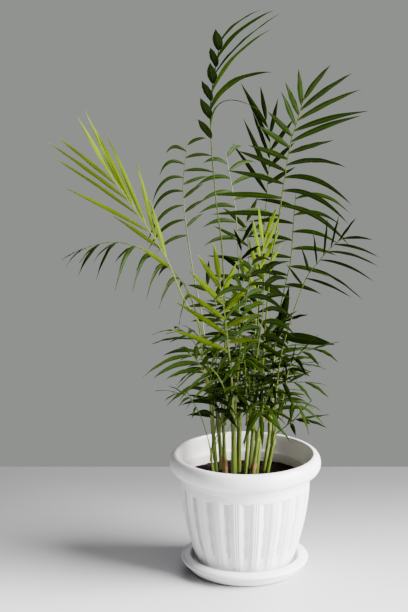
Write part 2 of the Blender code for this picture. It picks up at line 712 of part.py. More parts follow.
def pot_profile():
    """From the inside floor up the inner wall, over the rolled collar and down the outside to the foot."""
    floor = POT_BOTTOM + FOOT_RECESS + POT_FLOOR
    rise = COLLAR_BOTTOM - POT_BOTTOM
    heights = [POT_BOTTOM + rise * step / BODY_STEPS for step in range(BODY_STEPS + 1)]
    inner = [(body_radius(max(height, floor)) - POT_WALL, max(height, floor)) for height in heights]
    mouth = [(MOUTH_RADIUS - LIP_BEVEL, RIM_TOP - LIP_BEVEL)]
    collar = arc((MOUTH_RADIUS, RIM_TOP - COLLAR_BULGE), (RIM_RADIUS - MOUTH_RADIUS, COLLAR_BULGE), 90, 0, 3)
    skirt = [(MOUTH_RADIUS + COLLAR_SKIRT, COLLAR_BOTTOM + 2 * GAP)]
    outer = [(body_radius(height), height) for height in reversed(heights)]
    foot = [
        (FOOT_RADIUS - FOOT_RING, POT_BOTTOM),
        (FOOT_RADIUS - FOOT_RING, POT_BOTTOM + FOOT_RECESS),
        (0.0, POT_BOTTOM + FOOT_RECESS),
    ]
    return [(0.0, floor), *inner, *mouth, *collar, *skirt, *outer, *foot]


def saucer_profile():
    """From the middle of the floor up the inner wall, over the broad rim and down to the flat underside."""
    rim_size = (SAUCER_RADIUS - SAUCER_LIP, SAUCER_RIM_FALL)
    return [
        (0.0, SAUCER_FLOOR),
        (SAUCER_BASIN, SAUCER_FLOOR),
        (SAUCER_LIP - LIP_BEVEL, SAUCER_TOP - 2 * LIP_BEVEL),
        *arc((SAUCER_LIP, SAUCER_TOP - SAUCER_RIM_FALL), rim_size, 90, 0, 3),
        (SAUCER_RADIUS - SAUCER_UNDERCUT, SAUCER_TOP - SAUCER_UNDERCUT_DROP),
        (SAUCER_FOOT, 0.0),
        (0.0, 0.0),
    ]


def soil_profile():
    """A plug of soil a little clear of the pot's wall, mounded round the canes."""
    radii = (body_radius(SOIL_TOP) - POT_WALL - GAP, body_radius(SOIL_TOP - SOIL_DEPTH) - POT_WALL - GAP)
    return [
        (0.0, SOIL_TOP + SOIL_MOUND),
        (radii[0] * 0.6, SOIL_TOP + SOIL_MOUND * 0.8),
        (radii[0] - SOIL_PLAY, SOIL_TOP),
        (radii[1] - SOIL_PLAY, SOIL_TOP - SOIL_DEPTH),
        (0.0, SOIL_TOP - SOIL_DEPTH),
    ]


def cane_rings(cane):
    """Rings up a cane, which is thickest at the soil and swells slightly at each sheath."""
    foot = Vector((*cane.base, (SOIL_TOP + SOIL_MOUND + GAP) / MM))
    turns = [math.tau * index / CANE_SIDES for index in range(CANE_SIDES)]
    rings = []
    for step in range(CANE_STEPS + 1):
        share = step / CANE_STEPS
        centre = foot.lerp(Vector(cane.top), share)
        swell = 1.0 + CANE_SWELL * math.sin(share * math.tau * 1.5)
        radius = cane.radius * (1.0 + CANE_FLARE * (1.0 - share)) * swell
        rings.append([centre + Vector((math.cos(a) * radius, math.sin(a) * radius, 0.0)) for a in turns])
    return rings


def cane_mesh(cane):
    """The cane as a closed tube."""
    bm = bmesh.new()
    rows = [place_vertices(bm, ring) for ring in cane_rings(cane)]
    add_quads(bm, rows)
    bm.faces.new(reversed(rows[0]))
    bm.faces.new(rows[-1])
    bmesh.ops.recalc_face_normals(bm, faces=bm.faces)
    return bm


def grow_fronds():
    """Settles every frond's leaflets, the tall fronds first, and returns each stalk with its leaflets."""
    starts = petiole_starts()
    stalks = [Stalk(frond, starts[frond.name]) for frond in FRONDS]
    obstacles = [tube_obstacle(s.frond.name, [s.ring(share) for share in s.shares]) for s in stalks]
    obstacles += [tube_obstacle(cane.name, cane_rings(cane)) for cane in CANES]
    grown = []
    for stalk in stalks:
        rng = random.Random(stalk.frond.seed)
        blades = {}
        for slot in range(2 * stalk.frond.pairs):
            blade = settled_blade(stalk, slot, obstacles, rng)
            if blade:
                blades[slot] = blade
                obstacles.append(blade[2])
        grown.append((stalk, blades))
    return grown


def main():
    for obj in list(bpy.data.objects):
        bpy.data.objects.remove(obj)
    plastic = make_material("white_plastic", WHITE_PLASTIC, 0.35)
    soil = make_material("soil", DARK_SOIL, 0.95)
    cane_skin = make_material("cane", CANE_GREEN, 0.5)
    leaf = make_material("leaf", GREEN, 0.4)
    young_leaf = make_material("young_leaf", YOUNG_GREEN, 0.4)
    turned("saucer", saucer_profile(), POT_SIDES, plastic)
    turned("pot", pot_profile(), POT_SIDES, plastic)
    turned("soil", soil_profile(), SOIL_SIDES, soil)
    for cane in CANES:
        finish_object(cane.name, cane_mesh(cane), cane_skin)
    for stalk, blades in grow_fronds():
        material = young_leaf if stalk.frond.young else leaf
        finish_object(stalk.frond.name, frond_mesh(stalk, blades), material)


if __name__ == "__main__":
    main()
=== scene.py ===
"""A potted parlour palm, finished: ribbed plastic pot, saucer, peat, sheathed canes and feather fronds.

Metres, +Z up, and the plant's front faces -Y. The plant's own sizes are in millimetres and degrees,
as a grower would note them, and are turned into metres when each mesh is made.
"""

import logging
import math
import random
from dataclasses import dataclass, field
from enum import Enum
from typing import ClassVar, Iterator, Sequence

import bmesh
import bpy
from mathutils import Matrix, Vector, noise
from mathutils.bvhtree import BVHTree


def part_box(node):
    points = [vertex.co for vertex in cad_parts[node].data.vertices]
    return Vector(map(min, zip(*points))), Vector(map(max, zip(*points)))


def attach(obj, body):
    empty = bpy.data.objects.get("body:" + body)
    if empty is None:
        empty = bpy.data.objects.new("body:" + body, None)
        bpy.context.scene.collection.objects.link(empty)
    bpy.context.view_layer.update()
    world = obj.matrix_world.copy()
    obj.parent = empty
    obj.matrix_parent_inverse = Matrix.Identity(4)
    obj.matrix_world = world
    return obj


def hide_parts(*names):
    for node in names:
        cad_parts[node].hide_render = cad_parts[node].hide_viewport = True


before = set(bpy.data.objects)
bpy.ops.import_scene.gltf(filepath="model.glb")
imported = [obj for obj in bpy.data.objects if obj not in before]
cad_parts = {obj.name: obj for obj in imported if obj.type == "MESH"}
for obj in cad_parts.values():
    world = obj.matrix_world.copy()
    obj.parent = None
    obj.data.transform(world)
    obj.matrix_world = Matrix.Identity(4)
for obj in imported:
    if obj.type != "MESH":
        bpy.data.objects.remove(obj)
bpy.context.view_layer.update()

MM = 0.001

GAP = 0.3  # millimetres between a petiole and its cane
SOIL_TOP = 100.0
SOIL_MOUND = 2.5  # how much higher the soil is round the canes
CANE_SIDES = 6
CANE_STEPS = 3
CANE_FLARE = 0.15  # how much thicker a cane is at the soil, as a share of its radius
CANE_SWELL = 0.05  # how much it swells at each old sheath
STALK_RISE = 8.0  # millimetres that a petiole climbs straight up out of its cane
RING_SPACING = 45.0  # millimetres between rings on the bare part of a stalk
KEEL = 1.2  # depth of the stalk's keel, as a share of its radius
BLADE_THICKNESS = 0.7
CLEARANCE = 0.5  # how far a leaflet settles clear of the others
LONG_BLADE = 40.0  # a longer leaflet bends at two places, a shorter one at one
LONG_BLADE_PLACES = ((0.34, 1.0), (0.72, 0.70))  # where it bends, and its share of the widest width there
SHORT_BLADE_PLACES = ((0.42, 1.0),)
BLADE_BASE = ((0.01, 1.0), (0.18, 0.8))  # where its own base is kept clear, likewise
BLADE_INSET = 0.6  # how far out it starts, as a share of the rachis's radius
RACHIS_TIP = 0.35  # share of the petiole's thickness left at the frond's tip
PETIOLE_OFFSET = 0.72  # place of a petiole on its cane's top, as a share of the cane's radius
LENGTH_VARIES = 0.07  # share by which leaflets differ in length
LEAN_VARIES = 5.0  # degrees
LIFT_VARIES = 8.0
ROLL_VARIES = 16.0

SETTLE_SCALES = (1.0, 0.85, 0.7, 0.55)  # changes that a leaflet tries, to clear its neighbours
SETTLE_LIFTS = (0, 9, -9, 18, -18, 28, -28, 40, -40)
SETTLE_LEANS = (0, 7, -7)
SETTLE_SAGS = (0.0, 0.15, -0.12)

BROWNED_CANES = ("cane_left", "cane_front")  # these keep their dry old sheaths
GRAIN_RANGE = 900.0  # millimetres by which pieces lie apart in the grain, so that no two look alike

Row = tuple[float, ...]
Triple = tuple[float, float, float]
Colour = tuple[float, float, float]
Pair = tuple[float, float]
Socket = bpy.types.NodeSocket
log = logging.getLogger("palm")


class Slot(str, Enum):
    """The record's material slots."""

    PLASTIC = "pot_plastic"
    SOIL = "soil"
    CANE = "cane"
    FROND = "frond"
    YOUNG = "young_frond"


@dataclass(frozen=True)
class Side:
    """Leaflets along one side of a frond. Each row runs evenly from the lowest leaflet to the top one."""

    length: Row  # millimetres
    lean: Row  # degrees away from the rachis
    lift: Row = (0, 0)  # degrees out of the frond's plane, towards its upper face
    spread: Row = (0.0, 0.0)  # how far the blade curves outwards, as a share of its length
    sag: Row = (0.2, 0.2)  # how far its tip hangs below a straight blade, as a share of its length
    roll: float = 0.0  # degrees that the blade turns about its own midline


@dataclass(frozen=True)
class Frond:
    """One leaf. Its petiole and rachis follow the route, and its leaflets stand on the far part of it."""

    name: str
    cane: str
    route: tuple[Triple, ...]  # millimetres, from a point above the cane's top to the tip
    bare: float  # share of the stalk's length that has no leaflets
    pairs: int
    across: float  # heading in degrees of the right-hand leaflets: 0 is +X and 90 is +Y
    right: Side
    left: Side
    blade: float = 6.5  # widest width of a leaflet
    stalk: float = 0.95  # radius of the petiole
    crowd: float = 0.92  # under 1, the leaflets stand closer together towards the tip
    young: bool = False
    seed: int = 1


@dataclass(frozen=True)
class Cane:
    """One seedling's short stem, wrapped in old leaf sheaths."""

    name: str
    base: Pair  # millimetres, at the soil
    top: Triple
    radius: float


def twin(side: Side) -> dict[str, Side]:
    """The same leaflets on both sides of a frond."""
    return {"right": side, "left": side}


CANES = (
    Cane("cane_far_left", (-30, 4), (-37, -1, 189), 1.9),
    Cane("cane_thin_left", (-31, -8), (-36, -11, 122), 1.2),
    Cane("cane_left_back", (-24, 17), (-28, 21, 150), 1.8),
    Cane("cane_left", (-21, 4), (-23, 2, 158), 1.8),
    Cane("cane_left_front", (-12, -9), (-13, -14, 166), 2.4),
    Cane("cane_centre_back", (-7, 15), (-6, 19, 150), 1.9),
    Cane("cane_centre", (0, -1), (3, -2, 158), 1.7),
    Cane("cane_back", (6, 21), (9, 29, 146), 1.8),
    Cane("cane_right", (11, 5), (17, 7, 156), 1.9),
    Cane("cane_right_back", (20, 15), (27, 20, 146), 1.7),
    Cane("cane_far_right", (21, -4), (29, -8, 140), 1.7),
    Cane("cane_front", (6, -14), (12, -21, 148), 1.8),
)

FRONDS = (
    Frond(
        "frond_top", "cane_left",
        ((-22, 3, 262), (-25, 2, 347), (-32, 0, 404), (-37, -5, 471), (-36, -10, 509), (-27, -20, 565)),
        0.735, 6, -12, blade=10.5, stalk=1.1, seed=3,
        right=Side(
            (104, 76, 94, 86, 76, 54), (0, 22, 23, 18, 24, 25),
            spread=(0.56, 0.38, 0.24, 0.24, 0.22, 0.20),
            sag=(1.02, 0.55, 0.17, 0.16, 0.19, 0.18), roll=72,
        ),
        left=Side(
            (31, 30, 29, 28, 27, 26), (30, 28, 27, 26, 26, 24),
            lift=(52, 60), sag=(0.10, 0.10), roll=68,
        ),
    ),
    Frond(
        "frond_upper_right", "cane_right",
        ((19, 10, 238), (26, 10, 329), (34, 5, 386), (43, -10, 455), (50, -15, 482), (56, -22, 506)),
        0.62, 10, -10, blade=5.8, stalk=1.2, crowd=0.80, seed=5,
        right=Side(
            (66, 77, 60, 88, 40, 84, 74, 70, 72, 48), (78, 77, 73, 63, 52, 53, 48, 38, 27, 11),
            spread=(0.0, 0.0, 0.0, 0.0, 0.0, 0.04, 0.08, 0.06, 0.06, 0.1),
            sag=(0.62, 0.60, 0.64, 0.52, 0.05, 0.12, 0.12, 0.10, 0.08, 0.05),
        ),
        left=Side(
            (70, 70, 66, 54, 44, 40, 42, 42, 40, 38), (88, 86, 82, 74, 66, 60, 50, 40, 30, 2),
            lift=(0, 10, 20), sag=(0.14, 0.08, 0.03), roll=-12,
        ),
    ),
    Frond(
        "frond_young_left", "cane_far_left",
        (
            (-45, -5, 236), (-50, -10, 273), (-65, -15, 299),
            (-81, -25, 341), (-104, -35, 382), (-137, -50, 433),
        ),
        0.54, 6, 0, blade=4.6, stalk=1.15, young=True, seed=7,
        right=Side((52, 84, 102, 104, 94, 78), (12, 14, 15, 16, 12, 5), sag=(0.03, 0.0), roll=20),
        left=Side((44, 70, 112, 122, 96, 76), (34, 24, 22, 23, 21, 11), sag=(0.03, 0.06, 0.02), roll=14),
    ),
    Frond(
        "frond_arching_left", "cane_left_back",
        (
            (-45, 8, 251), (-53, 4, 283), (-62, 2, 306), (-79, 0, 328),
            (-107, -10, 350), (-135, -20, 359), (-164, -30, 355), (-179, -35, 349),
        ),
        0.48, 8, 90, blade=4.6, stalk=1.0, seed=9,
        right=Side((36, 42, 40, 16), (62, 56, 50, 44), sag=(0.75, 0.9, 0.8, 0.2)),
        left=Side((42, 52, 46, 18), (50, 46, 42, 26), sag=(0.95, 1.0, 0.9, 0.4)),
    ),
    Frond(
        "frond_back_left", "cane_left_back",
        ((-40, 45, 215), (-46, 62, 262), (-54, 74, 300), (-64, 90, 362), (-66, 96, 404), (-61, 96, 446)),
        0.66, 7, 22, blade=3.8, stalk=1.0, seed=11,
        right=Side((30, 34, 32, 36, 26), (48, 52, 58, 72, 44), sag=(0.25, 0.2, 0.15, 0.35, 0.4)),
        left=Side(
            (44, 54, 56, 52, 32), (84, 84, 78, 70, 50),
            spread=(-0.15, -0.25, -0.3, -0.2), sag=(0.45, 0.75, 0.85, 0.75, 0.6),
        ),
    ),
    Frond(
        "frond_back_right", "cane_back",
        ((12, 38, 231), (18, 60, 324), (24, 76, 400), (27, 84, 449), (21, 90, 474)),
        0.74, 5, -28, blade=5.2, stalk=1.0, seed=13,
        right=Side((36, 44, 44, 36), (62, 44, 28, 6), sag=(0.08, 0.03)),
        left=Side((74, 66, 58, 54), (38, 32, 26, 8), sag=(0.04, 0.0)),
    ),
    Frond(
        "frond_right", "cane_right_back",
        ((30, 22, 204), (33, 25, 257), (41, 32, 298), (48, 38, 329), (50, 44, 360), (53, 52, 396)),
        0.56, 6, -18, blade=4.6, stalk=1.1, seed=15,
        right=Side((36, 48, 62), (84, 76, 64), sag=(0.25, 0.35, 0.7)),
        left=Side((38, 54, 44), (84, 80, 70), sag=(0.2, 0.25, 0.15)),
    ),
    Frond(
        "frond_far_right", "cane_far_right",
        ((31, -10, 189), (37, -20, 246), (57, -35, 318), (71, -45, 343), (84, -50, 360), (96, -55, 371)),
        0.70, 6, -30, blade=2.9, stalk=0.95, crowd=0.80, seed=17,
        right=Side((46, 62, 54, 36), (62, 58, 44, 20), sag=(0.2, 0.35, 0.25)),
        left=Side((28, 34, 38, 34), (58, 46, 34, 10), sag=(0.0, 0.05)),
    ),
    Frond(
        "frond_middle", "cane_centre_back",
        ((-6, 25, 256), (-8, 30, 341), (-11, 35, 384), (-15, 40, 408), (-21, 47, 440)),
        0.68, 6, 30, blade=4.8, seed=19,
        right=Side((50, 62, 36), (80, 72, 46), sag=(0.35, 0.45)),
        left=Side((42, 48, 32), (66, 70, 46), sag=(0.45, 0.6)),
    ),
    Frond(
        "frond_young_front", "cane_left_front",
        ((-15, -25, 215), (-19, -35, 255), (-22, -45, 284), (-26, -50, 312), (-29, -55, 330)),
        0.46, 5, 0, blade=5.8, stalk=1.2, young=True, seed=21,
        right=Side((36, 42, 46), (74, 52, 6), lift=(14, 0), sag=(0.12, 0.0)),
        left=Side((74, 68, 60, 48, 44), (54, 50, 44, 34, 12), sag=(0.06, 0.0)),
    ),
    Frond(
        "frond_low_left", "cane_far_left",
        ((-42, -22, 212), (-46, -34, 230), (-53, -42, 243), (-61, -50, 251)),
        0.34, 4, 20, blade=5.8, stalk=1.1, seed=23,
        right=Side((32, 36, 34, 32), (50, 42, 30, 16), sag=(0.4, 0.4)),
        left=Side((42, 52, 56, 56), (60, 44, 34, 26), sag=(0.38, 0.5, 0.45)),
    ),
    Frond(
        "frond_thin_left", "cane_thin_left",
        ((-40, -14, 150), (-48, -18, 176), (-60, -22, 196), (-77, -26, 203)),
        0.62, 3, 80, blade=2.6, stalk=0.8, seed=25,
        right=Side((26, 28, 22), (56, 44, 24), sag=(0.3, 0.3)),
        left=Side((28, 28, 22), (62, 50, 24), sag=(0.4, 0.35)),
    ),
    Frond(
        "frond_left", "cane_left",
        ((-27, 8, 195), (-34, 12, 232), (-48, 14, 250), (-64, 16, 255)),
        0.52, 4, 80, blade=3.6, stalk=0.8, seed=27,
        right=Side((34, 30), (62, 30), sag=(0.3, 0.3)),
        left=Side((34, 30), (62, 30), sag=(0.4, 0.3)),
    ),
    Frond(
        "frond_low_right", "cane_far_right",
        ((38, -16, 190), (45, -25, 230), (56, -32, 246), (72, -38, 252)),
        0.58, 4, -80, blade=4.2, seed=29,
        right=Side((34, 40, 34), (64, 50, 24), sag=(0.55, 0.4)),
        left=Side((30, 34, 34), (64, 50, 24), sag=(0.2, 0.1)),
    ),
    Frond(
        "frond_front_right", "cane_front",
        ((19, -32, 190), (26, -42, 212), (44, -52, 220), (62, -58, 222)),
        0.42, 5, -90, blade=4.6, seed=31,
        right=Side((36, 40, 30), (66, 56, 24), sag=(0.5, 0.4)),
        left=Side((30, 34, 28), (66, 56, 24), sag=(0.3, 0.2)),
    ),
    Frond(
        "frond_rim_right", "cane_far_right",
        ((40, -14, 160), (52, -22, 172), (62, -27, 174)),
        0.50, 3, -80, blade=4.4, stalk=0.8, seed=33,
        right=Side((34, 32), (60, 20), sag=(0.25, 0.1)),
        left=Side((32, 32), (60, 20), sag=(0.1, 0.05)),
    ),
    Frond(
        "frond_bifid_right", "cane_right_back",
        ((29, 16, 190), (30, 14, 226), (33, 12, 250), (40, 10, 254)),
        0.88, 1, -90, blade=11.5, stalk=1.05, seed=36,
        right=Side((62, 62), (14, 14), sag=(0.06, 0.06), roll=50),
        left=Side((60, 60), (20, 20), sag=(0.0, 0.0), roll=-50),
    ),
    Frond(
        "frond_front_left", "cane_left_front",
        ((-22, -32, 205), (-30, -46, 226), (-40, -62, 240), (-48, -80, 244)),
        0.46, 4, -140, blade=4.6, seed=37,
        **twin(Side((40, 44, 36), (66, 54, 26), sag=(0.45, 0.4))),
    ),
    Frond(
        "frond_front", "cane_centre",
        ((0, -22, 205), (-2, -44, 236), (-4, -68, 252), (-6, -94, 254)),
        0.46, 5, 180, blade=4.8, seed=39,
        **twin(Side((40, 44, 34), (70, 56, 26), sag=(0.4, 0.35))),
    ),
    Frond(
        "frond_centre_front", "cane_centre",
        ((10, -14, 230), (15, -24, 270), (17, -32, 300), (17, -38, 334)),
        0.52, 6, 16, blade=6.4, stalk=1.05, seed=41,
        right=Side((32, 36, 34), (70, 62, 30), lift=(20, 20), sag=(0.75, 0.5)),
        left=Side((38, 42, 36), (74, 64, 30), lift=(20, 20), sag=(0.8, 0.5)),
    ),
    Frond(
        "frond_spear", "cane_back",
        ((10, 24, 230), (12, 16, 290), (15, 10, 330), (20, 6, 362)),
        0.68, 4, 20, blade=4.6, young=True, seed=43,
        right=Side((50, 46), (26, 10), sag=(0.02, 0.0)),
        left=Side((54, 46), (26, 8), sag=(0.02, 0.0)),
    ),
    Frond(
        "frond_hanging_front", "cane_front",
        ((16, -36, 180), (17, -50, 197), (17, -64, 202), (15, -78, 197)),
        0.42, 3, 180, blade=4.6, seed=45,
        right=Side((40, 36), (60, 24), sag=(0.55, 0.5)),
        left=Side((38, 34), (66, 30), sag=(0.5, 0.4)),
    ),
    Frond(
        "frond_back", "cane_centre_back",
        ((-8, 40, 210), (-10, 60, 246), (-12, 84, 268), (-14, 112, 274)),
        0.42, 5, 0, blade=4.8, seed=47,
        **twin(Side((44, 50, 36), (70, 56, 26), sag=(0.4, 0.35))),
    ),
    Frond(
        "frond_right_behind", "cane_right_back",
        ((34, 34, 184), (38, 50, 208), (44, 70, 222), (52, 92, 228)),
        0.42, 5, -35, blade=4.6, seed=49,
        **twin(Side((38, 44, 34), (70, 56, 26), sag=(0.4, 0.35))),
    ),
    Frond(
        "frond_left_behind", "cane_left_back",
        ((-38, 34, 196), (-48, 48, 224), (-60, 66, 240), (-74, 84, 244)),
        0.44, 4, 40, blade=4.6, seed=51,
        **twin(Side((40, 44, 34), (70, 56, 26), sag=(0.4, 0.35))),
    ),
    Frond(
        "frond_centre_back", "cane_back",
        ((8, 42, 240), (6, 56, 290), (4, 68, 330), (2, 84, 366)),
        0.58, 5, 0, blade=4.8, seed=53,
        **twin(Side((44, 50, 36), (80, 66, 26), sag=(0.2, 0.15))),
    ),
    Frond(
        "frond_high_front", "cane_left_front",
        ((-8, -30, 230), (-4, -46, 280), (0, -60, 318), (4, -78, 350)),
        0.62, 5, 0, blade=6.2, seed=55,
        right=Side((42, 46, 36), (68, 56, 26), sag=(0.8, 0.55)),
        left=Side((42, 46, 36), (68, 56, 26), sag=(0.85, 0.6)),
    ),
    Frond(
        "frond_low_centre", "cane_front",
        ((6, -30, 172), (4, -46, 190), (8, -64, 196), (16, -80, 190)),
        0.40, 4, -160, blade=4.6, seed=59,
        **twin(Side((38, 40, 34), (66, 54, 26), sag=(0.55, 0.5))),
    ),
    Frond(
        "frond_low_front_right", "cane_right",
        ((26, -6, 176), (34, -18, 190), (46, -32, 194), (56, -44, 190)),
        0.44, 4, -130, blade=4.4, seed=61,
        **twin(Side((34, 36, 30), (66, 54, 24), sag=(0.5, 0.4))),
    ),
    Frond(
        "frond_low_back_right", "cane_back",
        ((18, 38, 178), (26, 52, 200), (36, 70, 212), (44, 88, 212)),
        0.42, 4, -30, blade=4.8, seed=63,
        **twin(Side((38, 42, 34), (66, 54, 26), sag=(0.45, 0.4))),
    ),
    Frond(
        "frond_low_back_left", "cane_centre_back",
        ((-14, 32, 184), (-22, 48, 208), (-32, 66, 220), (-44, 84, 220)),
        0.42, 4, 30, blade=4.8, seed=65,
        **twin(Side((38, 42, 34), (66, 54, 26), sag=(0.45, 0.4))),
    ),
    Frond(
        "frond_dark_left", "cane_centre_back",
        ((-14, 28, 214), (-24, 30, 256), (-32, 32, 286), (-42, 34, 306)),
        0.58, 4, 10, blade=4.6, seed=67,
        right=Side((30, 34, 28), (70, 60, 30), sag=(0.1, 0.1)),
        left=Side((34, 34, 28), (76, 66, 30), sag=(0.2, 0.2)),
    ),
    Frond(
        "frond_short_right", "cane_right",
        ((26, 2, 186), (34, -2, 208), (46, -6, 222), (60, -9, 228)),
        0.44, 4, -90, blade=4.4, seed=57,
        **twin(Side((34, 38, 32), (68, 54, 24), sag=(0.4, 0.3))),
    ),
)


def ramp(values: Row, share: float) -> float:
    """Reads a row of evenly spaced values part of the way along.

    Args:
        values: the row, at least two numbers.
        share: how far along the row, from 0 to 1.

    Returns:
        The value there.
    """
    place = share * (len(values) - 1)
    index = min(int(place), len(values) - 2)
    return values[index] + (values[index + 1] - values[index]) * (place - index)


def heading(degrees: float) -> Vector:
    """The level direction at this heading."""
    return Vector((math.cos(math.radians(degrees)), math.sin(math.radians(degrees)), 0.0))


def smooth(low: float, high: float, value: float) -> float:
    """Rises smoothly from 0 at low to 1 at high."""
    share = min(max((value - low) / (high - low), 0.0), 1.0)
    return share * share * (3.0 - 2.0 * share)


def sleeve(rings: int, corners: int) -> list[tuple[int, ...]]:
    """The faces between rings of corners, as rows of corner numbers.

    Args:
        rings: how many rings there are.
        corners: how many corners each has.

    Returns:
        The faces, ring by ring.
    """
    faces = []
    for low in range(0, (rings - 1) * corners, corners):
        for corner in range(corners):
            after = (corner + 1) % corners
            faces.append((low + corner, low + after, low + corners + after, low + corners + corner))
    return faces


class Track:
    """A smooth curve through a few points, read by the share of its length."""

    STEPS = 12

    def __init__(self, points: list[Vector]) -> None:
        """Lays the curve.

        Args:
            points: the points that it passes through.
        """
        ends = [points[0] * 2 - points[1], *points, points[-1] * 2 - points[-2]]
        self.points = [points[0]]
        for p0, p1, p2, p3 in zip(ends, ends[1:], ends[2:], ends[3:]):
            for step in range(1, self.STEPS + 1):
                self.points.append(self.between(p0, p1, p2, p3, step / self.STEPS))
        self.lengths = [0.0]
        for start, end in zip(self.points, self.points[1:]):
            self.lengths.append(self.lengths[-1] + (end - start).length)

    @staticmethod
    def between(p0: Vector, p1: Vector, p2: Vector, p3: Vector, t: float) -> Vector:
        """The Catmull-Rom curve from p1 to p2.

        Args:
            p0: the point before them.
            p1: where it starts.
            p2: where it ends.
            p3: the point after them.
            t: how far along it is read, from 0 to 1.

        Returns:
            The point there.
        """
        return 0.5 * (
            p1 * 2 + (p2 - p0) * t + (p0 * 2 - p1 * 5 + p2 * 4 - p3) * t * t
            + (p1 * 3 - p0 - p2 * 3 + p3) * t * t * t
        )

    def at(self, share: float) -> tuple[Vector, Vector]:
        """Reads the curve.

        Args:
            share: how far along its length, from 0 to 1.

        Returns:
            The point and the direction there.
        """
        target = share * self.lengths[-1]
        index = 1
        while index < len(self.lengths) - 1 and self.lengths[index] < target:
            index += 1
        start, end = self.points[index - 1], self.points[index]
        part = (target - self.lengths[index - 1]) / (self.lengths[index] - self.lengths[index - 1])
        return start.lerp(end, part), (end - start).normalized()


class Stalk:
    """A frond's petiole and rachis, with the frame that its leaflets are placed in."""

    def __init__(self, frond: Frond, start: Vector) -> None:
        """Lays the stalk and shares it out among its leaflets.

        Args:
            frond: the frond that it carries.
            start: where it leaves the cane.
        """
        self.frond = frond
        rise = Vector((start.x, start.y, start.z + STALK_RISE))
        self.track = Track([start, rise, *map(Vector, frond.route)])
        self.length = self.track.lengths[-1]
        bare_rings = max(3, round(self.length * frond.bare / RING_SPACING))
        self.shares = [frond.bare * index / bare_rings for index in range(bare_rings)]
        self.first_leafy = len(self.shares)
        slots = 2 * frond.pairs
        leafy = 1.0 - frond.bare
        self.shares += [frond.bare + leafy * (index / slots) ** frond.crowd for index in range(slots + 1)]

    def frame(self, share: float) -> tuple[Vector, Vector, Vector, Vector]:
        """Reads the stalk at one place.

        Args:
            share: the share of its length.

        Returns:
            The point, the direction, the right-hand side and the upper face.
        """
        point, along = self.track.at(share)
        side = heading(self.frond.across)
        side = (side - along * side.dot(along)).normalized()
        return point, along, side, side.cross(along)

    def radius(self, share: float) -> float:
        """The stalk's radius, which falls towards the tip."""
        return self.frond.stalk * (1.0 - (1.0 - RACHIS_TIP) * share)

    def ring(self, share: float) -> list[Vector]:
        """Cuts the stalk across at one place.

        Args:
            share: the share of its length.

        Returns:
            Its three corners: left, right and the keel under it.
        """
        point, _, side, face = self.frame(share)
        radius = self.radius(share)
        return [point - side * radius, point + side * radius, point - face * radius * KEEL]

    def slot(self, index: int) -> float:
        """The share halfway along a leaflet's base."""
        low = self.first_leafy + index
        return 0.5 * (self.shares[low] + self.shares[low + 1])


@dataclass(frozen=True)
class Setting:
    """A small change of a leaflet's set, which clears it of its neighbours."""

    lean: float
    lift: float
    sag: float
    scale: float

    @staticmethod
    def choices() -> "Iterator[Setting]":
        """Every setting, the slightest change first.

        Returns:
            The settings, one at a time.
        """
        for scale in SETTLE_SCALES:
            for lift in SETTLE_LIFTS:
                for lean in SETTLE_LEANS:
                    for sag in SETTLE_SAGS:
                        yield Setting(lean, lift, sag, scale)


class BladePath:
    """A leaflet's midline, and the directions of its width and its face along it."""

    def __init__(self, stalk: Stalk, slot: int, setting: Setting, chance: list[float]) -> None:
        """Sets the leaflet on its stalk.

        Args:
            stalk: the stalk that it grows from.
            slot: its number from the lowest leaflet up. Odd ones stand on the right.
            setting: the change that clears its neighbours.
            chance: four numbers from -1 to 1, which vary its length, lean, lift and roll.
        """
        frond = stalk.frond
        right = slot % 2 == 1
        side = frond.right if right else frond.left
        share = slot / max(2 * frond.pairs - 1, 1)
        point, along, sideways, face = stalk.frame(stalk.slot(slot))
        self.sign = 1.0 if right else -1.0
        self.length = ramp(side.length, share) * setting.scale * (1.0 + LENGTH_VARIES * chance[0])
        lean = math.radians(ramp(side.lean, share) + setting.lean + LEAN_VARIES * chance[1])
        lift = math.radians(ramp(side.lift, share) + setting.lift + LIFT_VARIES * chance[2])
        self.roll = math.radians(side.roll + ROLL_VARIES * chance[3])
        outward = sideways * self.sign * math.cos(lift) + face * math.sin(lift)
        self.upper = face * math.cos(lift) - sideways * self.sign * math.sin(lift)
        self.start = along * math.cos(lean) + outward * math.sin(lean)
        self.bend = outward * ramp(side.spread, share) - Vector((0, 0, ramp(side.sag, share) + setting.sag))
        self.origin = point + outward * stalk.radius(stalk.slot(slot)) * BLADE_INSET

    def section(self, at: float) -> tuple[Vector, Vector, Vector]:
        """Reads the leaflet at one place.

        Args:
            at: the share of its length.

        Returns:
            The middle, the direction of its width and the normal of its upper face.
        """
        middle = self.origin + (self.start * at + self.bend * at * at) * self.length
        tangent = (self.start + self.bend * 2.0 * at).normalized()
        normal = (self.upper - tangent * self.upper.dot(tangent)).normalized()
        wide = normal.cross(tangent) * self.sign
        turned = Matrix.Rotation(self.roll * self.sign, 3, tangent)
        return middle, turned @ wide, turned @ normal


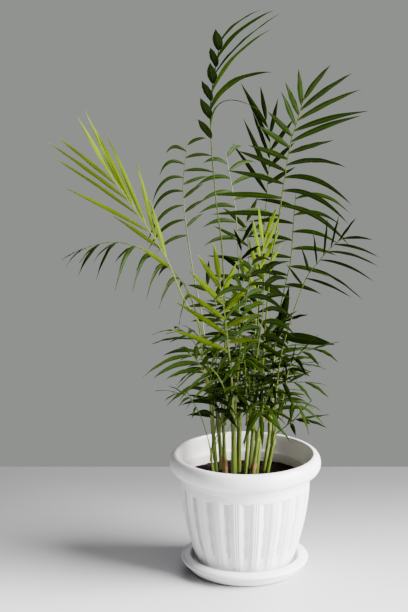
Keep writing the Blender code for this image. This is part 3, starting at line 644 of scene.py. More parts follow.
class Obstacle:
    """A closed shape that later leaflets keep clear of.

    Pieces of one frond are compared beyond their bases only.
    """

    def __init__(
        self, owner: str, points: list[Vector], faces: list[tuple[int, ...]],
        outer: list[Vector] | None = None,
    ) -> None:
        """Indexes the shape.

        Args:
            owner: the frond or cane that it belongs to.
            points: its corners.
            faces: its faces, as rows of corner numbers.
            outer: the corners to use against pieces of the same owner.
        """
        self.owner = owner
        self.tree = BVHTree.FromPolygons(points, faces)
        self.outer = BVHTree.FromPolygons(outer or points, faces)
        self.low = [min(point[axis] for point in points) for axis in range(3)]
        self.high = [max(point[axis] for point in points) for axis in range(3)]

    def touches(self, other: "Obstacle") -> bool:
        """Looks for a place where the two shapes cut through each other.

        Args:
            other: the other shape.

        Returns:
            True if there is one.
        """
        if not all(self.low[i] <= other.high[i] and other.low[i] <= self.high[i] for i in range(3)):
            return False
        if self.owner == other.owner:
            return bool(self.outer.overlap(other.outer))
        return bool(self.tree.overlap(other.tree))


@dataclass
class Nursery:
    """Settles every leaflet clear of the others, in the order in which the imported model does."""

    canes: Sequence[Cane]
    fronds: Sequence[Frond]
    obstacles: list[Obstacle] = field(default_factory=list)

    def starts(self) -> dict[str, Vector]:
        """Shares the top of each cane out among its petioles, each as near as it can be to its own heading.

        Returns:
            Where each frond starts, by its name.
        """
        starts: dict[str, Vector] = {}
        for cane in self.canes:
            top = Vector(cane.top)
            own = [frond for frond in self.fronds if frond.cane == cane.name]
            ways = {frond.name: Vector(frond.route[0]) - top for frond in own}
            angles = {name: math.atan2(way.y, way.x) for name, way in ways.items()}
            own.sort(key=lambda frond: angles[frond.name])
            turn = math.tau / max(len(own), 1)
            leftover = [angles[frond.name] - index * turn for index, frond in enumerate(own)]
            first = math.atan2(sum(map(math.sin, leftover)), sum(map(math.cos, leftover)))
            reach = cane.radius * PETIOLE_OFFSET if len(own) > 1 else 0.0
            for index, frond in enumerate(own):
                angle = first + index * turn
                starts[frond.name] = top + Vector((math.cos(angle) * reach, math.sin(angle) * reach, GAP))
        return starts

    @staticmethod
    def tube(owner: str, rings: list[list[Vector]]) -> Obstacle:
        """The obstacle that an open tube of these rings makes."""
        corners = [corner for ring in rings for corner in ring]
        return Obstacle(owner, corners, sleeve(len(rings), len(rings[0])))

    @staticmethod
    def loops(path: BladePath, width: float, thick: float, places: Sequence[Pair]) -> list[list[Vector]]:
        """Cuts a blade across at some places.

        Args:
            path: its midline.
            width: its widest width.
            thick: its thickness.
            places: each place along it, with its width there as a share of the widest.

        Returns:
            Four corners at each place.
        """
        loops = []
        for at, share in places:
            middle, wide, normal = path.section(at)
            half = wide * (width * share * 0.5)
            rise = normal * (thick * 0.5)
            left, right = middle - half, middle + half
            loops.append([left + rise, left - rise, right - rise, right + rise])
        return loops

    def trial(self, path: BladePath, frond: Frond) -> Obstacle:
        """The obstacle that a blade makes: from its base for other fronds, and from further out for its own.

        Args:
            path: the blade's midline.
            frond: its frond.

        Returns:
            The obstacle, grown by the clearance.
        """
        places = LONG_BLADE_PLACES if path.length > LONG_BLADE else SHORT_BLADE_PLACES
        loose = BLADE_THICKNESS + 2 * CLEARANCE
        base, outer, *wide = self.loops(path, frond.blade, loose, (*BLADE_BASE, *places))
        beyond = [corner for loop in wide for corner in loop] + [path.section(1.0)[0]]
        corners = len(base)
        low = len(wide) * corners
        faces = [(3, 2, 1, 0), *sleeve(len(wide) + 1, corners)]
        faces += [(low + corner, low + (corner + 1) % corners, low + corners) for corner in range(corners)]
        return Obstacle(frond.name, base + beyond, faces, outer + beyond)

    def blades(self, stalk: Stalk) -> dict[int, BladePath]:
        """Sets one frond's leaflets.

        Args:
            stalk: the stalk that they grow from.

        Returns:
            The leaflets by slot. A slot with no room has none.
        """
        rng = random.Random(stalk.frond.seed)
        blades: dict[int, BladePath] = {}
        for slot in range(2 * stalk.frond.pairs):
            chance = [rng.uniform(-1.0, 1.0) for _ in range(4)]
            for setting in Setting.choices():
                path = BladePath(stalk, slot, setting, chance)
                trial = self.trial(path, stalk.frond)
                if not any(trial.touches(other) for other in self.obstacles):
                    blades[slot] = path
                    self.obstacles.append(trial)
                    break
        return blades

    def settle(self) -> list[tuple[Stalk, dict[int, BladePath]]]:
        """Sets every frond's leaflets.

        Returns:
            Each stalk with its leaflets by slot.
        """
        starts = self.starts()
        stalks = [Stalk(frond, starts[frond.name]) for frond in self.fronds]
        self.obstacles = [self.tube(s.frond.name, [s.ring(share) for share in s.shares]) for s in stalks]
        self.obstacles += [self.tube(cane.name, SheathedCane.bound(cane)) for cane in self.canes]
        return [(stalk, self.blades(stalk)) for stalk in stalks]


class Skin:
    """The points, faces and paint marks of one piece, in millimetres, gathered before its mesh is made."""

    def __init__(self) -> None:
        """Starts empty."""
        self.points: list[Vector] = []
        self.faces: list[tuple[int, ...]] = []
        self.finishes: list[int] = []
        self.marks: list[float] = []
        self.grain: list[float] = []

    def point(self, place: Vector, mark: Triple, grain: Triple) -> int:
        """Adds a point.

        Args:
            place: where it is.
            mark: three values that the finish reads, such as the place across and along a blade.
            grain: where it lies in the finish's own straightened space, in millimetres.

        Returns:
            Its number.
        """
        self.points.append(place)
        self.marks.extend(mark)
        self.grain.extend(grain)
        return len(self.points) - 1

    def face(self, corners: Sequence[int], finish: int = 0) -> None:
        """Adds a face of the numbered finish."""
        self.faces.append(tuple(corners))
        self.finishes.append(finish)

    def bridge(self, rows: Sequence[Sequence[int]], finish: int = 0, closed: bool = True) -> None:
        """Adds the faces between rows of as many points each.

        Args:
            rows: the rows, in order.
            finish: the number of their finish.
            closed: True if each row is a ring.
        """
        count = len(rows[0])
        for lower, upper in zip(rows, rows[1:]):
            for index in range(count if closed else count - 1):
                after = (index + 1) % count
                self.face((lower[index], lower[after], upper[after], upper[index]), finish)

    def fan(self, ring: Sequence[int], tip: int, finish: int = 0) -> None:
        """Closes a ring on one point."""
        for index, corner in enumerate(ring):
            self.face((corner, ring[(index + 1) % len(ring)], tip), finish)

    def piece(
        self, name: str, finishes: Sequence[bpy.types.Material],
        nodes: Sequence[str] = (), sharp: float = 50.0,
    ) -> bpy.types.Object:
        """Makes the object and puts it in the frame.

        Args:
            name: the piece's name.
            finishes: its materials, in the order of their numbers.
            nodes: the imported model's nodes that it stands for.
            sharp: the angle in degrees from which an edge is shaded sharp.

        Returns:
            The object.
        """
        mesh = bpy.data.meshes.new(name)
        mesh.from_pydata([point * MM for point in self.points], [], self.faces)
        for material in finishes:
            mesh.materials.append(material)
        mesh.polygons.foreach_set("material_index", self.finishes)
        for label, values in (("marks", self.marks), ("grain", self.grain)):
            mesh.attributes.new(label, "FLOAT_VECTOR", "POINT").data.foreach_set("vector", values)
        bm = bmesh.new()
        bm.from_mesh(mesh)
        bmesh.ops.recalc_face_normals(bm, faces=bm.faces)
        bm.to_mesh(mesh)
        bm.free()
        mesh.shade_smooth()
        mesh.set_sharp_from_angle(angle=math.radians(sharp))
        obj = bpy.data.objects.new(name, mesh)
        bpy.context.scene.collection.objects.link(obj)
        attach(obj, "root")
        if nodes:
            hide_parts(*nodes)
        log.info("%s: %d faces", name, len(mesh.polygons))
        return obj


class Paint:
    """Builds one material's nodes."""

    MIX_INPUTS = (0, 6, 7)  # a Mix node's factor and its two colours
    MIX_OUTPUT = 2

    def __init__(self, name: str) -> None:
        """Starts a material with one Principled shader.

        Args:
            name: the material's name.
        """
        self.material = bpy.data.materials.new(name)
        self.material.use_nodes = True
        self.tree = self.material.node_tree
        self.shader = self.tree.nodes["Principled BSDF"]

    def node(self, kind: str, inputs: dict | None = None, **settings: object) -> bpy.types.Node:
        """Adds a node.

        Args:
            kind: its Blender type, without the ShaderNode prefix.
            inputs: its inputs by name or number, each a value or a socket.
            settings: its other settings.

        Returns:
            The node.
        """
        made = self.tree.nodes.new("ShaderNode" + kind)
        for key, value in settings.items():
            setattr(made, key, value)
        for key, value in (inputs or {}).items():
            self.put(made.inputs[key], value)
        return made

    def put(self, socket: Socket, value: object) -> None:
        """Links a socket to the input, or sets its value.

        Args:
            socket: the input.
            value: the socket or the value.
        """
        if isinstance(value, Socket):
            self.tree.links.new(value, socket)
        else:
            socket.default_value = value

    def split(self, vector: Socket) -> tuple[Socket, ...]:
        """The vector's three parts."""
        return tuple(self.node("SeparateXYZ", {0: vector}).outputs)

    def given(self) -> tuple[Socket, ...]:
        """The mesh's own three marks, and its grain."""
        read = [self.node("Attribute", attribute_name=name) for name in ("marks", "grain")]
        return (*self.split(read[0].outputs["Vector"]), read[1].outputs["Vector"])

    def noise(self, vector: Socket, scale: float | Triple, detail: float) -> Socket:
        """A soft noise from 0 to 1.

        Args:
            vector: the place at which it is read.
            scale: how fine it is, as one number or as one for each axis.
            detail: how many finer layers it has.

        Returns:
            The noise.
        """
        if isinstance(scale, tuple):
            vector = self.node("VectorMath", {0: vector, 1: scale}, operation="MULTIPLY").outputs[0]
            scale = 1.0
        return self.node("TexNoise", {"Vector": vector, "Scale": scale, "Detail": detail}).outputs["Fac"]

    def sum(self, operation: str, *values: object) -> Socket:
        """A Math node's result."""
        return self.node("Math", dict(enumerate(values)), operation=operation).outputs[0]

    def band(self, value: Socket, low: float, high: float, start: float = 0.0, end: float = 1.0) -> Socket:
        """Goes smoothly from start to end as the value goes from low to high."""
        inputs = {"Value": value, "From Min": low, "From Max": high, "To Min": start, "To Max": end}
        return self.node("MapRange", inputs, interpolation_type="SMOOTHSTEP").outputs[0]

    def mix(self, share: object, first: object, second: object) -> Socket:
        """A mix of two colours.

        Args:
            share: how much of the second, a value or a socket.
            first: a colour or a socket.
            second: a colour or a socket.

        Returns:
            The mixed colour.
        """
        made = self.node("Mix", data_type="RGBA")
        for index, value in zip(self.MIX_INPUTS, (share, first, second)):
            is_colour = isinstance(value, tuple) and len(value) == 3
            self.put(made.inputs[index], (*value, 1.0) if is_colour else value)
        return made.outputs[self.MIX_OUTPUT]

    def surface(self, base: Socket, roughness: Socket, specular: float = 0.5) -> None:
        """Sets how the shader looks.

        Args:
            base: its colour.
            roughness: its roughness.
            specular: its specular level, the same all over.
        """
        self.put(self.shader.inputs["Base Color"], base)
        self.put(self.shader.inputs["Roughness"], roughness)
        self.shader.inputs["Specular IOR Level"].default_value = specular

    def subsurface(self, weight: float, depth: float) -> None:
        """Lets some of the light in under the skin, as deep as this in metres."""
        self.shader.inputs["Subsurface Weight"].default_value = weight
        self.shader.inputs["Subsurface Scale"].default_value = depth

    def bump(self, height: Socket, distance: float, strength: float) -> None:
        """Raises the surface, on top of what is already raised.

        Args:
            height: the height, from 0 to 1.
            distance: how far a height of 1 stands out, in metres.
            strength: how strongly it shows.
        """
        made = self.node("Bump", {"Height": height, "Distance": distance, "Strength": strength})
        if self.shader.inputs["Normal"].is_linked:
            self.put(made.inputs["Normal"], self.shader.inputs["Normal"].links[0].from_socket)
        self.put(self.shader.inputs["Normal"], made.outputs[0])


@dataclass(frozen=True)
class Finish:
    """What every finish shares: it brushes a material that reads the mesh's own marks and grain."""

    name: str

    def brush(self, paint: Paint) -> None:
        """Lays the finish on a material, which each kind of finish does in its own way."""
        raise NotImplementedError

    def material(self) -> bpy.types.Material:
        """Builds the material.

        Returns:
            The material.
        """
        paint = Paint(self.name)
        self.brush(paint)
        return paint.material


@dataclass(frozen=True)
class BladeFinish(Finish):
    """The skin of a leaflet: parallel veins, a pale midrib, and tone that varies from blade to blade.

    The marks are the place across from -1 to 1, the place along from 0 to 1, and the tone from 0 to 1.
    """

    deep: Colour
    bright: Colour
    midrib: Colour
    tip: Colour
    roughness: float = 0.40
    specular: float = 0.035
    veins: float = 21.0  # how closely the veins stand, in radians across a half

    def brush(self, paint: Paint) -> None:
        """Lays the colour, the gloss and the relief.

        Args:
            paint: the material's nodes.
        """
        across, along, tone, grain = paint.given()
        patches = paint.noise(grain, (0.10, 0.10, 0.035), 2.0)
        fibres = paint.noise(grain, (1.5, 1.5, 0.04), 2.0)
        shade = paint.sum("ADD", paint.sum("MULTIPLY", tone, 0.62), paint.sum("MULTIPLY", patches, 0.45))
        base = paint.mix(shade, self.deep, self.bright)
        base = paint.mix(paint.band(fibres, 0.35, 0.7, 0.0, 0.28), base, self.bright)
        veins = paint.sum("ABSOLUTE", paint.sum("SINE", paint.sum("MULTIPLY", across, self.veins)))
        base = paint.mix(paint.band(veins, 0.18, 0.0, 0.0, 0.20), base, self.midrib)
        middle = paint.sum("ABSOLUTE", across)
        base = paint.mix(paint.band(middle, 0.085, 0.02, 0.0, 0.72), base, self.midrib)
        reach = paint.sum("ADD", along, paint.sum("MULTIPLY", patches, 0.06))
        base = paint.mix(paint.band(reach, 0.92, 1.05, 0.0, 0.5), base, self.tip)
        base = paint.mix(paint.band(along, 0.10, 0.0, 0.0, 0.45), base, self.midrib)
        rough = paint.band(fibres, 0.3, 0.75, self.roughness - 0.06, self.roughness + 0.10)
        paint.surface(base, rough, self.specular)
        paint.bump(patches, 0.0004, 0.3)


@dataclass(frozen=True)
class StalkFinish(Finish):
    """The smooth skin of a petiole and rachis: fine fibres, pale low down and greener towards the tip.

    The marks are the share round it, the place along from 0 to 1, and the stalk's tone from 0 to 1.
    """

    low: Colour
    high: Colour
    fleck: Colour
    roughness: float = 0.36
    specular: float = 0.25

    def brush(self, paint: Paint) -> None:
        """Lays the colour, the gloss and the relief.

        Args:
            paint: the material's nodes.
        """
        _, along, tone, grain = paint.given()
        fibres = paint.noise(grain, (2.4, 2.4, 0.035), 3.0)
        flecks = paint.noise(grain, (1.6, 1.6, 0.5), 2.0)
        base = paint.mix(paint.band(along, 0.05, 0.75), self.low, self.high)
        base = paint.mix(paint.band(tone, 0.0, 1.0, 0.0, 0.35), base, self.fleck)
        base = paint.mix(paint.band(fibres, 0.40, 0.70, 0.0, 0.40), base, self.fleck)
        base = paint.mix(paint.band(flecks, 0.62, 0.72, 0.0, 0.35), base, self.high)
        rough = paint.band(fibres, 0.3, 0.7, self.roughness, self.roughness + 0.12)
        paint.surface(base, rough, self.specular)
        paint.subsurface(0.12, 0.002)
        paint.bump(fibres, 0.00015, 0.6)


@dataclass(frozen=True)
class SheathFinish(Finish):
    """A leaf sheath: ribbed lengthwise, with a dry papery upper edge.

    The marks are the share round it, the place along from 0 to 1, and how dry it is from 0 to 1.
    """

    fresh: Colour
    rib: Colour
    dry: Colour
    dark: Colour
    roughness: float = 0.48
    dry_roughness: float = 0.82
    specular: float = 0.2

    def brush(self, paint: Paint) -> None:
        """Lays the colour, the gloss and the relief.

        Args:
            paint: the material's nodes.
        """
        _, along, age, grain = paint.given()
        ribs = paint.noise(grain, (1.7, 1.7, 0.02), 3.0)
        patches = paint.noise(grain, (0.25, 0.25, 0.09), 3.0)
        base = paint.mix(paint.band(ribs, 0.38, 0.62), self.fresh, self.rib)
        dryness = paint.sum("ADD", age, paint.sum("MULTIPLY", paint.sum("SUBTRACT", patches, 0.5), 0.7))
        dryness = paint.sum("ADD", dryness, paint.band(along, 0.86, 1.0, 0.0, 0.35))
        base = paint.mix(paint.band(dryness, 0.35, 0.75), base, self.dry)
        base = paint.mix(paint.band(patches, 0.60, 0.80, 0.0, 0.6), base, self.dark)
        rough = paint.band(dryness, 0.3, 0.8, self.roughness, self.dry_roughness)
        rough = paint.sum("ADD", rough, paint.band(ribs, 0.3, 0.7, -0.05, 0.05))
        paint.surface(base, rough, self.specular)
        paint.bump(ribs, 0.00035, 0.7)


@dataclass(frozen=True)
class PlasticFinish(Finish):
    """Moulded white plastic with a satin skin, faint flow marks and a few scuffs, and painted shade that
    darkens the inside of the pot.

    The marks are the height in millimetres, whether it is inside the pot, and how much soil marks it.
    """

    white: Colour
    shade: Colour
    dirt: Colour
    # painted shade: the darker colour that the pot's inside wall and floor are mixed towards
    inner: Colour
    roughness: float = 0.30

    def brush(self, paint: Paint) -> None:
        """Lays the colour, the gloss and the relief.

        Args:
            paint: the material's nodes.
        """
        _, inside, soiled, grain = paint.given()
        flow = paint.noise(grain, (0.03, 0.03, 0.012), 2.0)
        skin = paint.noise(grain, 1.6, 4.0)
        specks = paint.noise(grain, 0.55, 5.0)
        scuffs = paint.noise(grain, (0.15, 0.15, 1.3), 4.0)
        base = paint.mix(paint.band(flow, 0.35, 0.7), self.white, self.shade)
        base = paint.mix(paint.band(scuffs, 0.66, 0.78, 0.0, 0.25), base, self.shade)
        splash = paint.sum("MULTIPLY", paint.band(specks, 0.44, 0.62), soiled)
        base = paint.mix(splash, base, self.dirt)
        # painted shade: the inside of the pot is mixed towards the darker inner colour
        base = paint.mix(paint.band(inside, 0.0, 1.0, 0.0, 0.55), base, self.inner)
        rough = paint.band(flow, 0.3, 0.7, self.roughness, self.roughness + 0.07)
        rough = paint.sum("ADD", rough, paint.band(scuffs, 0.6, 0.8, 0.0, 0.15))
        paint.surface(base, rough)
        paint.subsurface(0.08, 0.003)
        paint.bump(skin, 0.00003, 0.25)
        paint.bump(flow, 0.0002, 0.15)


@dataclass(frozen=True)
class PeatFinish(Finish):
    """Damp potting peat: near black, with reddish fibres and pale grit."""

    wet: Colour
    brown: Colour
    red: Colour
    grit: Colour
    specular: float = 0.06

    def brush(self, paint: Paint) -> None:
        """Lays the colour, the gloss and the relief.

        Args:
            paint: the material's nodes.
        """
        _, _, tone, grain = paint.given()
        lumps = paint.noise(grain, 0.22, 6.0)
        fine = paint.noise(grain, 1.5, 6.0)
        base = paint.mix(paint.band(lumps, 0.35, 0.65), self.wet, self.brown)
        base = paint.mix(paint.band(fine, 0.55, 0.70, 0.0, 0.55), base, self.red)
        base = paint.mix(paint.band(tone, 0.0, 1.0, 0.0, 0.7), base, self.red)
        base = paint.mix(paint.band(fine, 0.735, 0.76, 0.0, 0.7), base, self.grit)
        paint.surface(base, paint.band(lumps, 0.35, 0.6, 0.60, 0.95), self.specular)
        paint.bump(fine, 0.0011, 0.9)
        paint.bump(lumps, 0.003, 0.6)


class Finishes:
    """Every finish on the plant and its pot, built once."""

    def __init__(self) -> None:
        """Builds the materials."""
        self.leaf = BladeFinish(
            "palm_leaf", deep=(0.0020, 0.0058, 0.0002), bright=(0.0118, 0.0268, 0.0007),
            midrib=(0.034, 0.056, 0.006), tip=(0.040, 0.038, 0.005),
        ).material()
        self.young_leaf = BladeFinish(
            "young_palm_leaf", deep=(0.036, 0.066, 0.0008), bright=(0.092, 0.134, 0.0022),
            midrib=(0.150, 0.190, 0.018), tip=(0.16, 0.16, 0.020),
        ).material()
        self.stalk = StalkFinish(
            "petiole", low=(0.078, 0.112, 0.010), high=(0.022, 0.040, 0.001), fleck=(0.10, 0.125, 0.018),
        ).material()
        self.young_stalk = StalkFinish(
            "young_petiole", low=(0.12, 0.16, 0.022), high=(0.075, 0.11, 0.008), fleck=(0.17, 0.21, 0.04),
        ).material()
        self.sheath = SheathFinish(
            "leaf_sheath", fresh=(0.120, 0.158, 0.022), rib=(0.052, 0.084, 0.007),
            dry=(0.17, 0.095, 0.040), dark=(0.050, 0.022, 0.010),
        ).material()
        self.plastic = PlasticFinish(
            "white_plastic", white=(0.85, 0.84, 0.855), shade=(0.78, 0.77, 0.785),
            # inner is painted shade for the inside of the pot, not a colour of the plastic
            dirt=(0.16, 0.10, 0.07), inner=(0.38, 0.35, 0.335),
        ).material()
        self.peat = PeatFinish(
            "damp_peat", wet=(0.0009, 0.0005, 0.0004), brown=(0.0036, 0.0016, 0.0010),
            red=(0.020, 0.007, 0.0035), grit=(0.06, 0.042, 0.03),
        ).material()


@dataclass
class Leaflet:
    """The form of one leaflet: lance-shaped, folded along its midrib, with a rippled edge and a fine tip."""

    rows: int = 15
    columns: Row = (0.0, 0.13, 0.42, 0.74, 1.0)  # places across a half, from the midrib to the edge
    peak: float = 0.36  # share of the length at which it is widest
    base: float = 0.30  # its width at the base, as a share of the widest
    fold: float = 11.0  # degrees that each half falls away from the midrib
    thick: float = 0.30
    edge: float = 0.10
    midrib: float = 0.42  # extra thickness under the midrib
    midrib_half: float = 0.1  # half the midrib's width, as a share of half the blade's
    crease: float = 0.10  # depth of the groove over the midrib
    ripple: float = 0.35
    waves: Pair = (1.5, 3.5)  # the fewest and the most ripples
    twist: float = 16.0  # degrees, the most that the tip turns
    swelling: float = 0.9  # extra thickness at the foot
    swelling_length: float = 2.2
    root: float = 0.4  # how far the foot reaches into the rachis

    def outline(self, at: float) -> float:
        """Reads the leaflet's outline.

        Args:
            at: the share of its length.

        Returns:
            The half's width there, as a share of the widest.
        """
        if at < self.peak:
            return self.base + (1.0 - self.base) * math.sin(0.5 * math.pi * at / self.peak) ** 0.85
        beyond = (at - self.peak) / (1.0 - self.peak)
        return math.cos(0.5 * math.pi * beyond**1.05) ** 1.1

    def grow(
        self, skin: Skin, path: BladePath, width: float, tone: float, rng: random.Random, finish: int
    ) -> None:
        """Adds the leaflet to a frond's skin.

        Args:
            skin: where its points and faces go.
            path: its midline.
            width: its widest width.
            tone: how bright its green is, from 0 to 1.
            rng: the source of its small differences.
            finish: the number of its finish.
        """
        phase, waves = rng.uniform(0.0, math.tau), rng.uniform(*self.waves)
        twist = math.radians(rng.uniform(-self.twist, self.twist))
        offset = rng.uniform(0.0, GRAIN_RANGE)
        across = [-u for u in reversed(self.columns[1:])] + list(self.columns)
        rings = []
        for row in range(self.rows):
            even = row / self.rows
            at = 0.55 * even + 0.45 * 0.5 * (1.0 - math.cos(math.pi * even))
            middle, wide, normal = path.section(at)
            turned = Matrix.Rotation(twist * at**1.5, 3, wide.cross(normal))
            wide, normal = turned @ wide, turned @ normal
            half = 0.5 * width * self.outline(at)
            fold = math.tan(math.radians(self.fold * (1.2 - 0.7 * at)))
            foot = self.swelling * math.exp(-((at * path.length / self.swelling_length) ** 2))
            ring = []
            for upper in (True, False):
                for u in across if upper else across[-2:0:-1]:
                    wave = self.ripple * math.sin(waves * math.tau * at + phase + (1.3 if u > 0 else 0.0))
                    height = -fold * half * abs(u) ** 1.15 + wave * u * u * smooth(0.05, 0.35, at)
                    bulk = self.edge + (self.thick - self.edge) * (1.0 - u * u) + foot * (1.0 - u * u)
                    if abs(u) < self.midrib_half:
                        bulk += 0.0 if upper else self.midrib * (1.0 - 0.8 * at)
                        height -= self.crease * (1.0 - at) if upper else 0.0
                    place = middle + wide * (half * u) + normal * (height + (0.5 if upper else -0.5) * bulk)
                    grain = (half * u + offset, offset, at * path.length)
                    ring.append(skin.point(place, (u, at, tone), grain))
            rings.append(ring)
        skin.bridge(rings, finish)
        tip = skin.point(path.section(1.0)[0], (0.0, 1.0, tone), (offset, offset, path.length))
        skin.fan(rings[-1], tip, finish)
        root = path.section(0.0)[0] - path.start * self.root
        skin.fan(rings[0], skin.point(root, (0.0, 0.0, tone), (offset, offset, 0.0)), finish)


@dataclass
class FrondPiece:
    """One frond: a round petiole that narrows into the rachis, and its leaflets."""

    SEEDS: ClassVar[int] = 1000  # added to the frond's own seed

    stalk: Stalk
    blades: dict[int, BladePath]
    leaflet: Leaflet
    sides: int = 10
    step: float = 7.0  # length of stalk between rings
    clasp: float = 1.0  # extra radius at the foot of the petiole
    clasp_length: float = 12.0
    channel: float = 0.22  # depth of the channel along its upper face, as a share of its radius
    knots: float = 0.06  # how much its thickness goes up and down
    knot_turns: float = 37.0  # radians of that along the stalk
    frond_tone: float = 0.34  # how much brighter one frond may be than another
    blade_tone: float = 0.36  # how much brighter one leaflet may be than another
    packed: bool = True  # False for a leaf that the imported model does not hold

    def radius(self, share: float, angle: float) -> float:
        """The petiole's radius, wider where it clasps the cane and channelled along its upper face.

        Args:
            share: the share of the stalk's length.
            angle: the angle in radians round it.

        Returns:
            The radius in millimetres.
        """
        radius = self.stalk.radius(share)
        foot = self.clasp * math.exp(-((share * self.stalk.length / self.clasp_length) ** 2))
        channel = 1.0 - self.channel * smooth(0.55, 1.0, math.sin(angle))
        return (radius + foot) * channel

    def build_stalk(self, skin: Skin, rng: random.Random) -> None:
        """Adds the petiole and rachis to the skin.

        Args:
            skin: where the points and faces go.
            rng: the source of the stalk's small differences.
        """
        count = max(int(self.stalk.length / self.step), 8)
        offset, tone = rng.uniform(0.0, GRAIN_RANGE), rng.random()
        rings = []
        for row in range(count + 1):
            share = row / count
            point, _, side, face = self.stalk.frame(share)
            knot = 1.0 + self.knots * math.sin(share * self.knot_turns + offset)
            ring = []
            for index in range(self.sides):
                angle = math.tau * index / self.sides
                radius = self.radius(share, angle) * knot
                across, up = math.cos(angle) * radius, math.sin(angle) * radius
                grain = (across + offset, up, share * self.stalk.length)
                place = point + side * across + face * up
                ring.append(skin.point(place, (index / self.sides, share, tone), grain))
            rings.append(ring)
        skin.bridge(rings)
        foot, (top, along) = self.stalk.track.at(0.0)[0], self.stalk.track.at(1.0)
        skin.fan(rings[0], skin.point(foot, (0.0, 0.0, tone), (offset, 0.0, 0.0)))
        skin.fan(rings[-1], skin.point(top + along * 0.8, (0.0, 1.0, tone), (offset, 0.0, self.stalk.length)))

    def dress(self, finishes: Finishes) -> bpy.types.Object:
        """Builds the frond and gives it its finishes.

        Args:
            finishes: the plant's finishes.

        Returns:
            The piece.
        """
        frond = self.stalk.frond
        rng = random.Random(frond.seed + self.SEEDS)
        skin = Skin()
        self.build_stalk(skin, rng)
        # painted shade: a leaf that is not packed, such as the thicket's, gets no frond tone and stays darker
        # as shade of the crowded middle
        frond_tone = rng.uniform(0.0, self.frond_tone) if self.packed else 0.0
        for _, path in sorted(self.blades.items()):
            tone = frond_tone + rng.uniform(0.0, self.blade_tone)
            self.leaflet.grow(skin, path, frond.blade, tone, rng, 1)
        nodes = [frond.name] if self.packed else []
        if frond.young:
            materials, slot = (finishes.young_stalk, finishes.young_leaf), Slot.YOUNG
        else:
            materials, slot = (finishes.stalk, finishes.leaf), Slot.FROND
        return skin.piece(f"{frond.name}_leaf", materials, nodes)


@dataclass
class Thicket:
    """The small leaves that crowd between the tall fronds, painted darker as shade of the crowded middle:
    where each one rises and how it arches.
    """

    SEEDS: ClassVar[int] = 500  # added to each leaf's number

    canes: Sequence[Cane]
    count: int = 40
    tries: int = 40
    seed: int = 404
    middle: Triple = (6.0, 4.0, 0.0)  # the middle of the crowd, millimetres
    reach: Pair = (6.0, 44.0)  # how far out the tips hang
    cane_top: float = 150.0
    rise: Pair = (45.0, 215.0)  # how far over the canes they stand
    foot: Pair = (0.10, 0.22)  # where the stalk starts to bend, as shares of the way out and up
    arch: Pair = (0.40, 0.62)  # where it arches, likewise
    arch_rise: float = 12.0
    droop: float = 6.0
    blade_length: Pair = (32.0, 46.0)
    free: float = 14.0  # length of stalk next to the cane that may touch its neighbours

    def frond(self, number: int, rng: random.Random) -> Frond:
        """Draws one leaf at random.

        Args:
            number: its number.
            rng: the source of its shape.

        Returns:
            The leaf.
        """
        cane = rng.choice(self.canes)
        top = Vector(cane.top)
        turn = rng.uniform(0.0, 360.0)
        out = heading(turn) * rng.uniform(*self.reach)
        tip = Vector(self.middle) + out + Vector((0.0, 0.0, self.cane_top + rng.uniform(*self.rise)))
        foot, bend = (top + (tip - top) * up for _, up in (self.foot, self.arch))
        for place, (share, _) in ((foot, self.foot), (bend, self.arch)):
            place.xy = top.xy + (tip.xy - top.xy) * share
        droop = tip - Vector((0.0, 0.0, self.droop))
        bend.z = min(bend.z + self.arch_rise, tip.z)
        way = tip.xy - top.xy
        lean = math.degrees(math.atan2(way.y, way.x))
        long = rng.uniform(*self.blade_length)
        sag = (rng.uniform(0.2, 0.6), rng.uniform(0.15, 0.4))
        side = Side((long, long * 1.05, long * 0.8), (74, 60, 26), sag=sag)
        return Frond(
            f"thicket_{number:02d}", cane.name, (tuple(foot), tuple(bend), tuple(droop)),
            rng.uniform(0.44, 0.58), rng.randint(4, 6), lean - 90.0 + rng.uniform(-30.0, 30.0), **twin(side),
            blade=rng.uniform(3.8, 5.4), stalk=0.7, seed=number + self.SEEDS,
        )

    def grow(self, nursery: Nursery) -> list[tuple[Stalk, dict[int, BladePath]]]:
        """Finds room for the leaves among what the nursery has already set.

        Args:
            nursery: holds what is already there.

        Returns:
            Each stalk with its leaflets by slot.
        """
        rng = random.Random(self.seed)
        grown = []
        for number in range(self.count):
            for _ in range(self.tries):
                frond = self.frond(number, rng)
                cane = next(c for c in self.canes if c.name == frond.cane)
                start = Vector(cane.top) + Vector((0.0, 0.0, GAP))
                stalk = Stalk(frond, start)
                upper = [share for share in stalk.shares if share * stalk.length > self.free]
                tube = nursery.tube(frond.name, [stalk.ring(share) for share in upper])
                if any(tube.touches(other) for other in nursery.obstacles):
                    continue
                nursery.obstacles.append(tube)
                grown.append((stalk, nursery.blades(stalk)))
                break
        return grown


@dataclass(frozen=True)
class Sheath:
    """One leaf sheath, a thin shell that clasps the cane and is open on its far side."""

    facing: float  # heading of its leaf, in radians
    low: float  # its lower end, as a share of the cane's length
    high: float  # the share that its back reaches
    opening: float  # half the angle in radians that it leaves open at its upper edge
    flare: float  # millimetres that its upper edge stands off
    age: float  # how dry it is, from 0 to 1
    layer: float  # millimetres that its wall stands off the core
    ragged: float = 0.0  # how torn its upper edge is


